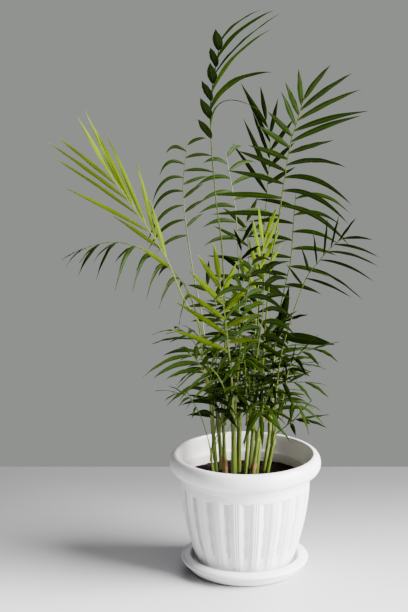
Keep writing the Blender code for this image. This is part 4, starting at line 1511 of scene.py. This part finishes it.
@dataclass
class SheathedCane:
    """A cane: its ringed core, the sheaths that clasp it, and dry scraps of the oldest ones."""

    cane: Cane
    fronds: Sequence[Stalk]
    sides: int = 18
    rows: int = 26
    sheath_thick: float = 0.26
    sheath_grid: tuple[int, int] = (16, 12)  # columns and rows of a sheath
    scar_spacing: float = 13.0  # millimetres between old leaf scars
    neck: float = 0.72  # share of the core's radius that is left at its very top
    browned: bool = False

    @staticmethod
    def bound(cane: Cane) -> list[list[Vector]]:
        """The rings that bound a cane, which is thickest at the soil and swells slightly at each sheath.

        Args:
            cane: the cane.

        Returns:
            The rings, from the soil up.
        """
        foot = Vector((*cane.base, SOIL_TOP + SOIL_MOUND + GAP))
        turns = [math.tau * index / CANE_SIDES for index in range(CANE_SIDES)]
        rings = []
        for step in range(CANE_STEPS + 1):
            share = step / CANE_STEPS
            centre = foot.lerp(Vector(cane.top), share)
            swell = 1.0 + CANE_SWELL * math.sin(share * math.tau * 1.5)
            radius = cane.radius * (1.0 + CANE_FLARE * (1.0 - share)) * swell
            around = [Vector((math.cos(turn) * radius, math.sin(turn) * radius, 0.0)) for turn in turns]
            rings.append([centre + out for out in around])
        return rings

    def centre(self, share: float) -> Vector:
        """The middle of the cane, from a little under the soil to its top."""
        foot = Vector((*self.cane.base, SOIL_TOP - 3.0))
        return foot.lerp(Vector(self.cane.top), share)

    def height(self) -> float:
        """The cane's length in millimetres."""
        return (self.centre(1.0) - self.centre(0.0)).length

    def core_radius(self, share: float) -> float:
        """The core's radius, broad at the soil and ringed at each old leaf scar.

        Args:
            share: the share of the cane's length.

        Returns:
            The radius in millimetres.
        """
        rings = 0.5 + 0.5 * math.cos(share * self.height() / self.scar_spacing * math.tau)
        taper = 1.08 - 0.22 * share
        scars = 0.94 + 0.06 * rings**6
        flare = 1.0 + 0.25 * math.exp(-share * 14.0)
        return self.cane.radius * taper * scars * flare

    def build_core(self, skin: Skin, offset: float) -> None:
        """Adds the core to the skin.

        Args:
            skin: where the points and faces go.
            offset: where its grain starts.
        """
        rings = []
        for row in range(self.rows + 1):
            share = row / self.rows
            centre, radius = self.centre(share), self.core_radius(share)
            if row == self.rows:
                radius *= self.neck
            ring = []
            for index in range(self.sides):
                angle = math.tau * index / self.sides
                ripple = 1.0 + 0.03 * math.sin(angle * 5.0 + offset)
                across = Vector((math.cos(angle), math.sin(angle), 0.0)) * radius * ripple
                age = 0.14 * (1.0 - share) + 0.08 * math.sin(angle + offset)
                grain = (across.x + offset, across.y, share * self.height())
                ring.append(skin.point(centre + across, (index / self.sides, share, age), grain))
            rings.append(ring)
        skin.bridge(rings)
        for ring, end in ((rings[0], 0.0), (rings[-1], 1.0)):
            tip = self.centre(end) + Vector((0.0, 0.0, end))
            skin.fan(ring, skin.point(tip, (0.0, end, 0.3), (offset, 0.0, end * self.height())))

    def wrap(self, skin: Skin, sheath: Sheath, rng: random.Random) -> None:
        """Adds one sheath to the skin.

        Args:
            skin: where the points and faces go.
            sheath: the sheath.
            rng: the source of the tears in a ragged one.
        """
        columns, rows = self.sheath_grid
        offset = sheath.facing * 40.0 + sheath.low * 70.0
        torn = sheath.ragged
        tears = [rng.uniform(-1.0, 1.0) * torn if torn else 0.0 for _ in range(columns + 1)]
        shells: list[list[list[int]]] = [[], []]
        for row in range(rows + 1):
            up = row / rows
            for side, shell in enumerate(shells):
                line = []
                for column in range(columns + 1):
                    turn = 2.0 * column / columns - 1.0
                    reach = math.pi - 0.04 - sheath.opening * smooth(0.25, 1.0, up)
                    angle = sheath.facing + turn * reach
                    top = sheath.high - (sheath.high - sheath.low) * (0.34 * turn * turn + tears[column])
                    share = sheath.low + (top - sheath.low) * up
                    stand = sheath.layer + sheath.flare * smooth(0.55, 1.0, up) * (0.4 + 0.6 * turn * turn)
                    thick = self.sheath_thick * (1.0 - 0.75 * up) * (1.0 - 0.6 * abs(turn) ** 6)
                    radius = self.core_radius(min(share, 1.0)) + stand + (thick if side == 0 else 0.0)
                    across = Vector((math.cos(angle), math.sin(angle), 0.0)) * radius
                    mark = (0.5 + 0.5 * turn, up, sheath.age)
                    grain = (across.x + offset, across.y, share * self.height())
                    line.append(skin.point(self.centre(share) + across, mark, grain))
                shell.append(line)
        outside, inside = shells
        skin.bridge(outside, closed=False)
        skin.bridge(inside, closed=False)
        for first, second in ((outside[0], inside[0]), (outside[-1], inside[-1])):
            skin.bridge([first, second], closed=False)
        for column in (0, columns):
            skin.bridge([[line[column] for line in outside], [line[column] for line in inside]], closed=False)

    def dress(self, finishes: Finishes) -> bpy.types.Object:
        """Builds the cane and gives it its finish.

        Args:
            finishes: the plant's finishes.

        Returns:
            The piece.
        """
        rng = random.Random(self.cane.name)
        skin = Skin()
        self.build_core(skin, rng.uniform(0.0, GRAIN_RANGE))
        top = Vector(self.cane.top)
        for index, stalk in enumerate(self.fronds):
            start = stalk.track.at(0.0)[0]
            facing = math.atan2(start.y - top.y, start.x - top.x) + rng.uniform(-0.3, 0.3)
            low = max(0.42 - 0.16 * index + rng.uniform(-0.05, 0.05), 0.05)
            high = 1.0 + (5.0 + 3.0 * index) / self.height()
            age = rng.uniform(0.0, 0.12)
            layer = 0.08 + 0.27 * index
            self.wrap(skin, Sheath(facing, low, high, opening=1.5, flare=0.35, age=age, layer=layer), rng)
        for scrap in range(2 if self.browned else 0):
            sheath = Sheath(
                facing=rng.uniform(0.0, math.tau), low=0.02 + 0.02 * scrap, high=rng.uniform(0.30, 0.60),
                opening=rng.uniform(1.2, 1.9), flare=rng.uniform(0.4, 1.2), age=rng.uniform(0.7, 1.0),
                layer=0.6 + 0.4 * scrap, ragged=0.16,
            )
            self.wrap(skin, sheath, rng)
        return skin.piece(f"{self.cane.name}_sheaths", (finishes.sheath,), [self.cane.name])


@dataclass
class FlutedPot:
    """The pot: a rolled collar, a fine step under it, and twenty scoops with three reeds between each two."""

    rim: float  # outer radius of the collar
    top: float  # height of the rim
    foot: float  # height of the pot's underside
    columns: int = 720
    collar_bottom: float = 108.5
    collar_middle: float = 118.2  # height at which the collar is broadest
    ledge: float = 109.0  # height of the ledge inside, under the collar
    body_top: float = 69.2  # the body's radius under the collar
    waist: float = 64.0  # its radius halfway up
    base: float = 49.0  # its radius at the foot
    mouth: float = 72.6
    wall: float = 2.0
    floor: float = 3.5
    ring: float = 4.0  # width of the foot ring
    recess: float = 1.5  # how far the underside is raised inside the ring
    flutes: int = 20
    scoop_half: float = 5.6  # degrees
    scoop_depth: float = 1.65
    reed_turn: float = 2.15  # degrees between reeds
    reed_height: float = 0.62
    scoop_top: float = 96.0
    arch_rise: float = 2.2  # how far the top of a scoop is arched
    step_height: float = 101.6
    step_depth: float = 0.55
    groove_depth: float = 0.25
    stain: float = 0.30  # how strongly the soil has marked the wall at its edge
    stain_reach: float = 5.0

    def body(self, height: float) -> float:
        """The body's outer radius before its relief.

        Args:
            height: the height.

        Returns:
            The radius in millimetres.
        """
        share = (height - self.foot) / (self.collar_bottom - self.foot)
        bow = 4.0 * share * (1.0 - share) * (self.waist - 0.5 * (self.body_top + self.base))
        return self.base + (self.body_top - self.base) * share + bow

    def relief(self, degrees: float, height: float) -> float:
        """How far the body's surface stands out from its plain radius.

        Args:
            degrees: the heading.
            height: the height.

        Returns:
            Millimetres, negative in the scoops.
        """
        turn = 360.0 / self.flutes
        off = (degrees + 0.5 * turn) % turn - 0.5 * turn
        fade = smooth(self.foot + 6.0, self.foot + 26.0, height)
        step = -self.step_depth * smooth(self.step_height + 0.4, self.step_height - 0.4, height)
        groove = -self.groove_depth * math.exp(-(((height - self.step_height) / 0.6) ** 2))
        across = abs(off) / self.scoop_half
        if across < 1.0:
            arch = self.scoop_top - self.arch_rise * (1.0 - across * across)
            cut = smooth(arch + 0.2, arch - 1.6, height)
            return step + groove - self.scoop_depth * (1.0 - across**2.6) * cut * fade
        band = abs(abs(off) - 0.5 * turn)
        reed = math.cos(math.pi * band / self.reed_turn) ** 2 if band < 1.5 * self.reed_turn else 0.0
        cut = smooth(self.scoop_top + 0.2, self.scoop_top - 1.0, height)
        return step + groove + self.reed_height * (reed - 0.45) * cut * fade

    @staticmethod
    def arc(centre: Pair, radii: Pair, start: float, end: float, steps: int) -> list[Pair]:
        """Points of an ellipse between two angles in degrees, as radius and height."""
        angles = [math.radians(start + (end - start) * step / steps) for step in range(steps + 1)]
        return [(centre[0] + radii[0] * math.cos(a), centre[1] + radii[1] * math.sin(a)) for a in angles]

    def inner_wall(self) -> list[Pair]:
        """Draws the outline from the middle of the floor up the inside wall to the mouth.

        Returns:
            The radius and the height of each ring.
        """
        floor = self.foot + self.recess + self.floor
        rows = [(0.5, floor), (30.0, floor)]
        rows += self.arc((self.body(floor) - self.wall - 3.0, floor + 3.0), (3.0, 3.0), -90, 0, 4)
        heights = (20.0, 40.0, 60.0, 80.0, 92.0, 98.0, 101.0, 104.0, 107.0, self.ledge)
        rows += [(self.body(height) - self.wall, height) for height in heights]
        ledge = rows[-1][0]
        rows += [(ledge + 0.7, 109.6), (ledge + 1.5, 110.0), (ledge + 1.9, 111.0)]
        wider, taller = self.mouth - 1.2 - ledge - 1.9, self.top - 112.2
        rows += [(ledge + 1.9 + wider * step / 4, 111.0 + taller * step / 4) for step in range(1, 5)]
        return rows

    def collar(self) -> list[Pair]:
        """Draws the outline from the mouth over the rolled collar to the top of the body.

        Returns:
            The radius and the height of each ring.
        """
        middle = self.collar_middle
        rows = self.arc((self.mouth, self.top - 1.0), (1.0, 1.0), 160, 95, 4)
        roll = self.rim - self.mouth
        rows += self.arc((self.mouth + 0.4, middle), (roll - 0.4, self.top - middle), 88, 0, 12)
        rows += self.arc((self.mouth + 0.8, middle), (roll - 0.8, middle - self.ledge), -8, -84, 9)
        return rows + [(73.2, 108.75), (71.6, 108.7), (70.1, 108.6)]

    def underside(self) -> list[Pair]:
        """Draws the outline from the foot ring to the middle of the underside.

        Returns:
            The radius and the height of each ring.
        """
        inner, raised = self.base - self.ring, self.foot + self.recess
        rows = self.arc((self.base - 1.0, self.foot + 1.2), (1.4, 1.2), 0, -90, 4)
        rows += [(inner + 0.5, self.foot), (inner, self.foot + 0.3), (inner - 0.4, raised)]
        return rows + [(25.0, raised), (0.5, raised)]

    def profile(self) -> list[tuple[float, float, bool]]:
        """Joins the outline up, from the inside floor over the rim to the underside.

        Returns:
            The radius, the height and whether it has relief, for each ring of the pot.
        """
        heights = [108.0, 106.8, 104.5, 102.6, 102.1, 101.7, 101.3, 100.8, 99.5, 97.6]
        heights += [96.4 - 0.45 * step for step in range(12)]
        heights += [90.0 - 60.0 * step / 9 for step in range(10)]
        heights += [25.0, 20.0, 16.0, 12.5, 9.5, 7.5]
        above = [(radius, height, False) for radius, height in self.inner_wall() + self.collar()]
        fluted = [(self.body(height), height, True) for height in heights]
        return above + fluted + [(radius, height, False) for radius, height in self.underside()]

    def dress(self, finishes: Finishes) -> bpy.types.Object:
        """Builds the pot and gives it its finish.

        Args:
            finishes: the plant's finishes.

        Returns:
            The piece.
        """
        skin = Skin()
        rings = []
        inside = True
        for radius, height, carved in self.profile():
            inside = inside and radius < self.mouth + 0.2
            soiled = 0.0
            if inside and height > SOIL_TOP - 4 * self.stain_reach:
                soiled = self.stain * math.exp(-(((height - SOIL_TOP) / self.stain_reach) ** 2))
            ring = []
            for column in range(self.columns):
                degrees = 360.0 * column / self.columns
                out = radius + (self.relief(degrees, height) if carved else 0.0)
                place = heading(degrees) * out + Vector((0, 0, height))
                ring.append(skin.point(place, (height, float(inside), soiled), tuple(place)))
            rings.append(ring)
        skin.bridge(rings)
        raised = self.foot + self.recess
        for ring, height in ((rings[0], raised + self.floor), (rings[-1], raised)):
            skin.fan(ring, skin.point(Vector((0, 0, height)), (height, 0.0, 0.0), (0.0, 0.0, height)))
        return skin.piece("fluted_pot", (finishes.plastic,), ["pot"], 60)


@dataclass
class RolledSaucer:
    """The saucer: a shallow dish with a broad rolled rim."""

    rim: float  # outermost radius
    top: float  # height of the rim
    columns: int = 240
    foot: float = 55.0
    lip: float = 59.0
    floor: float = 3.5
    basin: float = 55.5
    underside: float = 1.0  # height of the underside inside the foot ring
    bulge: float = 12.9  # height at which the rim is broadest
    shift: float = 300.0  # millimetres in the grain, so that its marks aren't the pot's

    def profile(self) -> list[Pair]:
        """Draws the outline, from the middle of the floor over the rim to the underside.

        Returns:
            The radius and the height of each ring of the saucer.
        """
        under = self.underside
        rows = [(0.5, self.floor), (20.0, self.floor), (40.0, self.floor), (self.basin - 2.0, self.floor)]
        rows += FlutedPot.arc((self.basin - 1.5, self.floor + 2.6), (2.4, 2.6), -70, -10, 4)
        rows += [(57.0, 10.0), (57.7, 13.8)]
        rows += FlutedPot.arc((self.lip + 0.3, self.top - 1.5), (1.5, 1.5), 170, 100, 5)
        rim = (self.rim - self.lip - 0.2, self.top - self.bulge)
        rows += FlutedPot.arc((self.lip + 0.2, self.bulge), rim, 88, 0, 12)
        rows += FlutedPot.arc((self.rim - 2.6, self.bulge), (2.6, 2.9), -10, -90, 6)
        rows += [(64.6, 9.8), (64.0, 9.2), (63.6, 8.2), (62.4, 5.8), (60.6, 3.4), (58.6, 1.5), (57.0, 0.5)]
        rows += [(56.0, 0.1), (self.foot, 0.0), (54.0, 0.0), (53.2, 0.5)]
        return rows + [(52.8, under), (30.0, under), (0.5, under)]

    def dress(self, finishes: Finishes) -> bpy.types.Object:
        """Builds the saucer and gives it its finish.

        Args:
            finishes: the plant's finishes.

        Returns:
            The piece.
        """
        skin = Skin()
        rings = []
        for radius, height in self.profile():
            ring = []
            for column in range(self.columns):
                place = heading(360.0 * column / self.columns) * radius + Vector((0, 0, height))
                ring.append(skin.point(place, (height, 0.0, 0.0), (place.x + self.shift, place.y, place.z)))
            rings.append(ring)
        skin.bridge(rings)
        for ring, height in ((rings[0], self.floor), (rings[-1], self.underside)):
            skin.fan(ring, skin.point(Vector((0, 0, height)), (height, 0.0, 0.0), (self.shift, 0.0, height)))
        return skin.piece("rolled_saucer", (finishes.plastic,), ["saucer"], 60)


@dataclass
class PeatBed:
    """The soil: an uneven bed that rises round the canes, with loose crumbs and fibres on it."""

    radius: float
    canes: Sequence[Cane]
    rings: int = 34
    columns: int = 110
    depth: float = 30.0
    crumbs: int = 420
    crumb_sizes: Row = (0.5, 0.6, 0.8, 1.0, 1.3)
    fibres: int = 60
    fibre_length: Pair = (4.0, 11.0)
    fibre_bow: float = 2.0
    fibre_thick: float = 0.22
    fibre_grid: tuple[int, int] = (6, 5)  # steps along a fibre, and its sides
    mound: float = 2.2  # how high the soil rises against one cane
    seed: int = 77

    def level(self, x: float, y: float) -> float:
        """Reads the height of the bed's surface.

        Args:
            x: the place, in millimetres.
            y: the place, in millimetres.

        Returns:
            The height there.
        """
        spots = [(x - cane.base[0]) ** 2 + (y - cane.base[1]) ** 2 for cane in self.canes]
        rise = sum(self.mound * math.exp(-spot / 60.0) for spot in spots)
        lumps = 1.6 * noise.noise(Vector((x, y, 0.0)) * 0.07) + 0.9 * noise.noise(Vector((x, y, 9.0)) * 0.22)
        grit = 0.5 * noise.noise(Vector((x, y, 5.0)) * 0.6)
        edge = -1.2 * smooth(self.radius - 8.0, self.radius, math.hypot(x, y))
        return SOIL_TOP + 0.4 + min(rise, 2.6) + lumps + grit + edge

    def dress_bed(self, finishes: Finishes) -> bpy.types.Object:
        """Builds the bed.

        Args:
            finishes: the plant's finishes.

        Returns:
            The piece.
        """
        skin = Skin()
        rings = []
        for number in range(1, self.rings + 1):
            radius = self.radius * number / self.rings
            ring = []
            for column in range(self.columns):
                place = heading(360.0 * column / self.columns) * radius
                place.z = self.level(place.x, place.y)
                tone = 0.5 * smooth(self.radius - 9.0, self.radius, radius) * smooth(20.0, -40.0, place.x)
                ring.append(skin.point(place, (0.0, 0.0, tone), tuple(place)))
            rings.append(ring)
        for height, shrink in ((SOIL_TOP - 4.0, 0.0), (SOIL_TOP - self.depth, 2.5)):
            ring = []
            for column in range(self.columns):
                place = heading(360.0 * column / self.columns) * (self.radius - shrink)
                place.z = height
                ring.append(skin.point(place, (0.0, 0.0, 0.0), tuple(place)))
            rings.append(ring)
        skin.bridge(rings)
        for ring, height in ((rings[0], self.level(0.0, 0.0)), (rings[-1], SOIL_TOP - self.depth)):
            skin.fan(ring, skin.point(Vector((0, 0, height)), (0.0, 0.0, 0.0), (0.0, 0.0, height)))
        return skin.piece("peat_bed", (finishes.peat,), ["soil"], 180)

    def crumb(self, skin: Skin, centre: Vector, size: float, tone: float, rng: random.Random) -> None:
        """Adds one crumb, a lumpy ball.

        Args:
            skin: where the points and faces go.
            centre: its middle.
            size: its radius.
            tone: how red it is, from 0 to 1.
            rng: the source of its lumps.
        """
        bm = bmesh.new()
        bmesh.ops.create_icosphere(bm, subdivisions=1, radius=1.0)
        squash = Vector((rng.uniform(0.7, 1.3), rng.uniform(0.7, 1.3), rng.uniform(0.5, 0.9)))
        spin = Matrix.Rotation(rng.uniform(0, math.tau), 3, "Z")
        first = len(skin.points)
        for vert in bm.verts:
            place = centre + spin @ (vert.co * squash) * size * rng.uniform(0.75, 1.2)
            skin.point(place, (0.0, 0.0, tone), tuple(place * 2.0))
        for face in bm.faces:
            skin.face([first + vert.index for vert in face.verts])
        bm.free()

    def fibre(self, skin: Skin, rng: random.Random) -> None:
        """Adds one bowed fibre that lies on the soil.

        Args:
            skin: where the points and faces go.
            rng: the source of its place and shape.
        """
        radius = (self.radius - 8.0) * math.sqrt(rng.random())
        start = heading(rng.uniform(0, 360)) * radius
        way = heading(rng.uniform(0, 360))
        side = Vector((-way.y, way.x, 0.0))
        length, bow = rng.uniform(*self.fibre_length), rng.uniform(-self.fibre_bow, self.fibre_bow)
        steps, sides = self.fibre_grid
        rings = []
        for row in range(steps + 1):
            share = row / steps
            place = start + way * (length * share) + side * (bow * math.sin(math.pi * share))
            place.z = self.level(place.x, place.y) + 0.25 + 0.6 * math.sin(math.pi * share)
            thick = self.fibre_thick * (1.0 - 0.7 * share)
            ring = []
            for corner in range(sides):
                angle = math.tau * corner / sides
                around = side * (math.cos(angle) * thick) + Vector((0, 0, math.sin(angle) * thick))
                ring.append(skin.point(place + around, (0.0, 0.0, 0.9), tuple(place * 1.5)))
            rings.append(ring)
        skin.bridge(rings)
        skin.face(rings[0])
        skin.face(rings[-1])

    def dress_crumbs(self, finishes: Finishes) -> bpy.types.Object:
        """Builds the loose crumbs and fibres.

        Args:
            finishes: the plant's finishes.

        Returns:
            The piece.
        """
        rng = random.Random(self.seed)
        skin = Skin()
        for _ in range(self.crumbs):
            radius = (self.radius - 2.0) * math.sqrt(rng.random())
            place = heading(rng.uniform(0, 360)) * radius
            size = rng.choice(self.crumb_sizes)
            place.z = self.level(place.x, place.y) + size * 0.25
            self.crumb(skin, place, size, rng.random() ** 3, rng)
        for _ in range(self.fibres):
            self.fibre(skin, rng)
        return skin.piece("peat_crumbs", (finishes.peat,), (), 35)


@dataclass(frozen=True)
class Panel:
    """One soft panel of light."""

    name: str
    place: Triple
    aim: Triple  # the point that it faces
    size: Pair
    watts: float
    colour: Colour
    spread: float = 180.0  # degrees that its light fans out over

    def hang(self) -> None:
        """Hangs the panel in the room."""
        light = bpy.data.lights.new(self.name, "AREA")
        light.shape = "RECTANGLE"
        light.size, light.size_y = self.size
        light.energy = self.watts
        light.color = self.colour
        light.spread = math.radians(self.spread)
        obj = bpy.data.objects.new(self.name, light)
        obj.location = self.place
        obj.rotation_euler = (Vector(self.aim) - Vector(self.place)).to_track_quat("-Z", "Y").to_euler()
        obj.visible_camera = False
        bpy.context.scene.collection.objects.link(obj)


PANELS = (
    Panel("window", (2.64, -0.78, 1.54), (0.0, -0.10, 0.14), (2.2, 2.2), 560.0, (1.0, 0.985, 0.965), 140.0),
    Panel("ceiling", (0.40, -0.10, 1.9), (-0.10, -0.05, 0.0), (1.5, 1.5), 12.0, (0.98, 0.985, 1.0)),
    Panel("room_fill", (0.7, -2.2, 1.3), (0.0, 0.0, 0.2), (2.0, 1.5), 0.5, (0.96, 0.98, 1.0)),
    Panel("back_fill", (0.10, 2.1, 1.5), (0.0, 0.0, 0.25), (2.0, 1.5), 13.0, (0.98, 0.985, 1.0)),
)


@dataclass
class Studio:
    """The pale table, the soft light of a window on the right, and the camera."""

    camera_place: Triple = (-0.0437, -1.718, 0.690)
    camera_pitch: float = 13.18  # degrees down
    lens: float = 100.0
    sensor: float = 36.0
    table_width: float = 6.0
    table_depth: float = 4.0
    table_thick: float = 0.03
    table_back: float = 0.335
    table_drop: float = 0.0002  # how far its top lies under the saucer
    wall: Colour = (0.300, 0.312, 0.296)
    room: Colour = (0.90, 0.95, 1.0)
    room_strength: float = 0.055

    def table(self) -> None:
        """Lays the table top, with painted shade that darkens it towards the back."""
        bpy.ops.mesh.primitive_cube_add(size=1.0)
        top = bpy.context.object
        top.name = "table"
        for vert in top.data.vertices:
            vert.co.x *= self.table_width
            vert.co.y = self.table_back - self.table_depth * (0.5 - vert.co.y)
            vert.co.z = (vert.co.z - 0.5) * self.table_thick - self.table_drop
        paint = Paint("table_top")
        place = paint.node("TexCoord").outputs["Object"]
        cloud = paint.noise(place, 3.0, 2.0)
        pale = paint.mix(cloud, (0.78, 0.77, 0.79), (0.82, 0.81, 0.83))
        # painted shade: the top is mixed towards a dark grey as it nears its back edge
        painted_back_shade = paint.band(paint.split(place)[1], -0.30, self.table_back, 0.0, 0.9)
        base = paint.mix(painted_back_shade, pale, (0.046, 0.0452, 0.044))
        paint.surface(base, paint.band(cloud, 0.3, 0.7, 0.42, 0.50))
        top.data.materials.append(paint.material)

    def world(self) -> None:
        """Sets the plain wall colour behind, and the soft light of the room."""
        world = bpy.data.worlds.new("room")
        bpy.context.scene.world = world
        world.use_nodes = True
        tree = world.node_tree
        tree.nodes.clear()
        room = tree.nodes.new("ShaderNodeBackground")
        room.inputs["Color"].default_value = (*self.room, 1.0)
        room.inputs["Strength"].default_value = self.room_strength
        seen = tree.nodes.new("ShaderNodeBackground")
        seen.inputs["Color"].default_value = (*self.wall, 1.0)
        rays = tree.nodes.new("ShaderNodeLightPath")
        mix = tree.nodes.new("ShaderNodeMixShader")
        out = tree.nodes.new("ShaderNodeOutputWorld")
        tree.links.new(rays.outputs["Is Camera Ray"], mix.inputs[0])
        tree.links.new(room.outputs[0], mix.inputs[1])
        tree.links.new(seen.outputs[0], mix.inputs[2])
        tree.links.new(mix.outputs[0], out.inputs[0])

    def camera(self) -> None:
        """Stands the camera in front, looking slightly down."""
        data = bpy.data.cameras.new("camera")
        data.lens = self.lens
        data.sensor_width = self.sensor
        obj = bpy.data.objects.new("camera", data)
        obj.location = self.camera_place
        obj.rotation_euler = (math.radians(90.0 - self.camera_pitch), 0.0, 0.0)
        bpy.context.scene.collection.objects.link(obj)
        bpy.context.scene.camera = obj

    def build(self) -> None:
        """Builds the whole studio."""
        self.table()
        self.world()
        for panel in PANELS:
            panel.hang()
        self.camera()


def main() -> None:
    """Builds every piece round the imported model."""
    logging.basicConfig(level=logging.INFO, format="%(name)s: %(message)s")
    Studio().build()
    finishes = Finishes()
    pot_low, pot_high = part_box("pot")
    saucer_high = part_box("saucer")[1]
    soil_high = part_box("soil")[1]
    FlutedPot(rim=pot_high[0] / MM, top=pot_high[2] / MM, foot=pot_low[2] / MM).dress(finishes)
    RolledSaucer(rim=saucer_high[0] / MM, top=saucer_high[2] / MM).dress(finishes)
    peat = PeatBed(radius=soil_high[0] / MM, canes=CANES)
    peat.dress_bed(finishes)
    peat.dress_crumbs(finishes)
    nursery = Nursery(CANES, FRONDS)
    grown = nursery.settle()
    for cane in CANES:
        own = [stalk for stalk, _ in grown if stalk.frond.cane == cane.name]
        SheathedCane(cane, own, browned=cane.name in BROWNED_CANES).dress(finishes)
    for stalk, blades in grown:
        FrondPiece(stalk, blades, Leaflet()).dress(finishes)
    for stalk, blades in Thicket(CANES).grow(nursery):
        FrondPiece(stalk, blades, Leaflet(), clasp=0.3, packed=False).dress(finishes)


if __name__ == "__main__":
    main()
